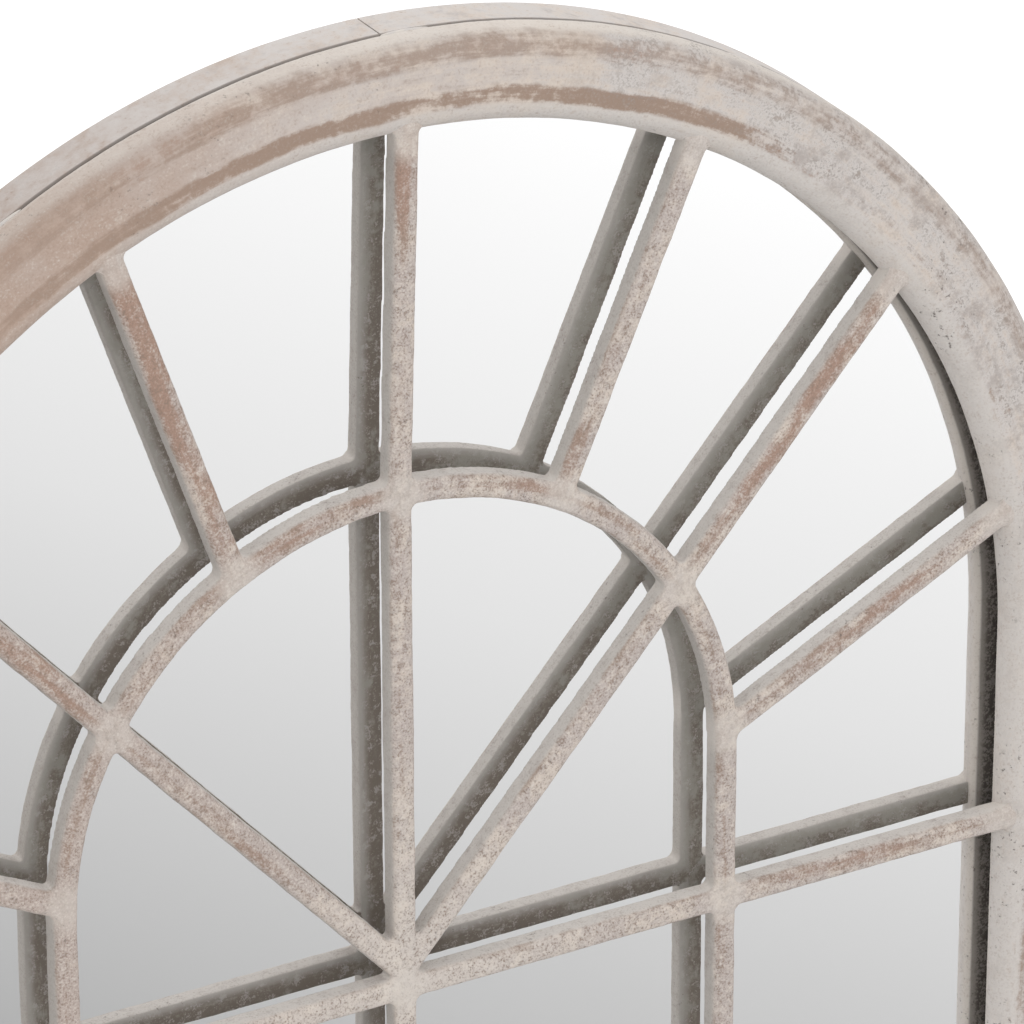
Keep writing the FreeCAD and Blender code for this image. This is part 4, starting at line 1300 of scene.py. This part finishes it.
class MIRROR_OT_back_fittings(bpy.types.Operator):
    """Turn buttons with their blocks and screws, and the keyhole hangers"""

    bl_idname = "mirror.back_fittings"
    bl_label = "Back fittings"

    def execute(self, context):
        buttons = [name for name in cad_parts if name.startswith("turn_button_")]
        dress_nodes(buttons + ["pivot_screws"], zinc_plate())
        dress_nodes(["button_blocks", "hanger_left", "hanger_right"], primer_paint())
        return {"FINISHED"}


# Stage


CAMERA_TARGET = Vector((0.0623, -0.0279, 0.2283))
CAMERA_DISTANCE = 3.2625
CAMERA_YAW_DEG = 29.52
CAMERA_PITCH_DEG = 26.08
CAMERA_ROLL_DEG = -0.17
CAMERA_LENS = 251.4
CAMERA_SENSOR = 36.0
FLOOR_SIZE = 40.0
FLOOR_GAP = 0.0006

# Painted shadow: tone of the floor in front, as the mirror shows it: a slope over X and Y that falls faster
# where it is darker, held between two levels, less what the lamps already give the floor
FLOOR_TONE = 0.166
FLOOR_TONE_X = 0.286
FLOOR_TONE_Y = -0.140
FLOOR_FALL = 1.45
FLOOR_FALL_START = 0.338
FLOOR_DARKEST = 0.35
FLOOR_PALEST = 1.1
FLOOR_BEHIND = 1.15
FLOOR_LIT = 0.36
WORLD_LEVEL = 0.58


def background_ray(nodes, links):
    """1 for rays that show the background itself: to the camera, a gloss or through glass."""
    path = nodes.new("ShaderNodeLightPath")
    total = path.outputs["Is Camera Ray"]
    for name in ("Is Glossy Ray", "Is Transmission Ray"):
        node = nodes.new("ShaderNodeMath")
        node.operation = "MAXIMUM"
        links.new(total, node.inputs[0])
        links.new(path.outputs[name], node.inputs[1])
        total = node.outputs[0]
    return total


def part_rays(tree, lit, seen, output):
    """Gives one shader to the rays that carry light and another to those that show the background."""
    mix = tree.nodes.new("ShaderNodeMixShader")
    tree.links.new(background_ray(tree.nodes, tree.links), mix.inputs[0])
    tree.links.new(lit.outputs[0], mix.inputs[1])
    tree.links.new(seen.outputs[0], mix.inputs[2])
    tree.links.new(mix.outputs[0], tree.nodes[output].inputs["Surface"])


def floor_paper():
    """White floor that keeps its shadows, with a painted soft shadow in front of the mirror where its glow
    is toned down.
    """
    recipe = Recipe("studio_floor", 0.9)
    nodes, links = recipe.nodes, recipe.links
    recipe.shader.inputs["Base Color"].default_value = colour("floor")
    recipe.shader.inputs["Specular IOR Level"].default_value = 0.0
    x = recipe.axis("X")
    y = recipe.axis("Y")
    # Painted shadow: the glow is lowered over a stretch of floor in front of the mirror, while the floor
    # near and behind it stays white.
    tone = recipe.plus(recipe.times(x, FLOOR_TONE_X), recipe.times(y, FLOOR_TONE_Y))
    tone = recipe.plus(tone, FLOOR_TONE)
    tone = recipe.maths("MINIMUM", tone, recipe.line(tone, FLOOR_FALL, -FLOOR_FALL_START))
    tone = recipe.maths("MINIMUM", recipe.maths("MAXIMUM", tone, FLOOR_DARKEST), FLOOR_PALEST)
    tone = recipe.maths("MAXIMUM", tone, recipe.span(y, -1.0, -0.2, 0.0, FLOOR_BEHIND))
    glow = nodes.new("ShaderNodeEmission")
    links.new(recipe.maths("MAXIMUM", recipe.minus(tone, FLOOR_LIT), 0.0), glow.inputs["Strength"])
    add = nodes.new("ShaderNodeAddShader")
    links.new(recipe.shader.outputs[0], add.inputs[0])
    links.new(glow.outputs[0], add.inputs[1])
    bounce = nodes.new("ShaderNodeBsdfDiffuse")
    bounce.inputs["Color"].default_value = colour("paper")
    part_rays(recipe.material.node_tree, bounce, add, "Material Output")
    return recipe.material


def white_world(level):
    """Soft even light, with plain white where the background itself shows."""
    world = bpy.data.worlds.new("studio")
    world.use_nodes = True
    nodes = world.node_tree.nodes
    light = nodes["Background"]
    light.inputs["Color"].default_value = (1.0, 1.0, 1.0, 1.0)
    light.inputs["Strength"].default_value = level
    white = nodes.new("ShaderNodeBackground")
    white.inputs["Color"].default_value = (1.0, 1.0, 1.0, 1.0)
    white.inputs["Strength"].default_value = 1.0
    part_rays(world.node_tree, light, white, "World Output")
    bpy.context.scene.world = world


def add_lamp(name, place, aim, size, power):
    """A large soft lamp that points at a place."""
    bpy.ops.object.light_add(type="AREA", location=place)
    lamp = bpy.context.object
    lamp.name = name
    lamp.data.shape = "DISK"
    lamp.data.size = size
    lamp.data.energy = power
    lamp.rotation_euler = (Vector(aim) - Vector(place)).to_track_quat("-Z", "Y").to_euler()


class MIRROR_OT_stage(bpy.types.Operator):
    """Floor, soft light and the camera"""

    bl_idname = "mirror.stage"
    bl_label = "Stage"

    def execute(self, context):
        deselect()
        bpy.ops.mesh.primitive_plane_add(size=FLOOR_SIZE, location=(0, 0, 0))
        floor = bpy.context.object
        floor.name = "studio_floor"
        floor.location.z = BOTTOM_Z - FLOOR_GAP
        settle()
        floor.data.materials.append(floor_paper())
        white_world(WORLD_LEVEL)
        add_lamp("key_lamp", place=(-1.6, -3.4, 2.1), aim=(0, 0, 0.1), size=2.4, power=60.0)
        add_lamp("fill_lamp", place=(2.6, -2.4, 1.8), aim=(0, 0, 0.1), size=2.2, power=25.0)
        add_lamp("back_lamp", place=(0.5, 2.8, 2.4), aim=(0, 0, 0.0), size=2.0, power=60.0)
        pitch = math.radians(CAMERA_PITCH_DEG)
        yaw = math.radians(CAMERA_YAW_DEG)
        turn = Euler((QUARTER_TURN - pitch, 0, -yaw)).to_quaternion()
        turn = turn @ Quaternion((0, 0, 1), math.radians(CAMERA_ROLL_DEG))
        place = CAMERA_TARGET - turn @ Vector((0, 0, -1)) * CAMERA_DISTANCE
        bpy.ops.object.camera_add(location=place, rotation=turn.to_euler())
        camera = bpy.context.object
        camera.data.lens = CAMERA_LENS
        camera.data.sensor_width = CAMERA_SENSOR
        context.scene.camera = camera
        context.scene.view_settings.view_transform = "Standard"
        return {"FINISHED"}


class MIRROR_PT_sidebar(bpy.types.Panel):
    """Lists the pieces and the sizes and colours that they use"""

    bl_idname = "MIRROR_PT_sidebar"
    bl_label = "Garden mirror"
    bl_space_type = "VIEW_3D"
    bl_region_type = "UI"
    bl_category = "Mirror"

    def draw(self, context):
        for operator in OPERATORS:
            self.layout.operator(operator.bl_idname)
        for group in (context.scene.mirror_sizes, context.scene.mirror_colours):
            box = self.layout.box()
            for name in group.bl_rna.properties.keys():
                if name not in ("rna_type", "name"):
                    box.prop(group, name)


OPERATORS = (
    MIRROR_OT_moulding,
    MIRROR_OT_rim,
    MIRROR_OT_tacks,
    MIRROR_OT_sunburst,
    MIRROR_OT_lower_grille,
    MIRROR_OT_glazing,
    MIRROR_OT_back_fittings,
    MIRROR_OT_stage,
)
CLASSES = (MirrorSizes, MirrorColours, *OPERATORS, MIRROR_PT_sidebar)


def register():
    for cls in CLASSES:
        bpy.utils.register_class(cls)
    bpy.types.Scene.mirror_sizes = bpy.props.PointerProperty(type=MirrorSizes)
    bpy.types.Scene.mirror_colours = bpy.props.PointerProperty(type=MirrorColours)


def unregister():
    del bpy.types.Scene.mirror_colours
    del bpy.types.Scene.mirror_sizes
    for cls in reversed(CLASSES):
        bpy.utils.unregister_class(cls)


def main():
    register()
    bpy.ops.mirror.moulding()
    bpy.ops.mirror.rim()
    bpy.ops.mirror.tacks()
    bpy.ops.mirror.sunburst()
    bpy.ops.mirror.lower_grille()
    bpy.ops.mirror.glazing()
    bpy.ops.mirror.back_fittings()
    bpy.ops.mirror.stage()


if __name__ == "__main__":
    main()
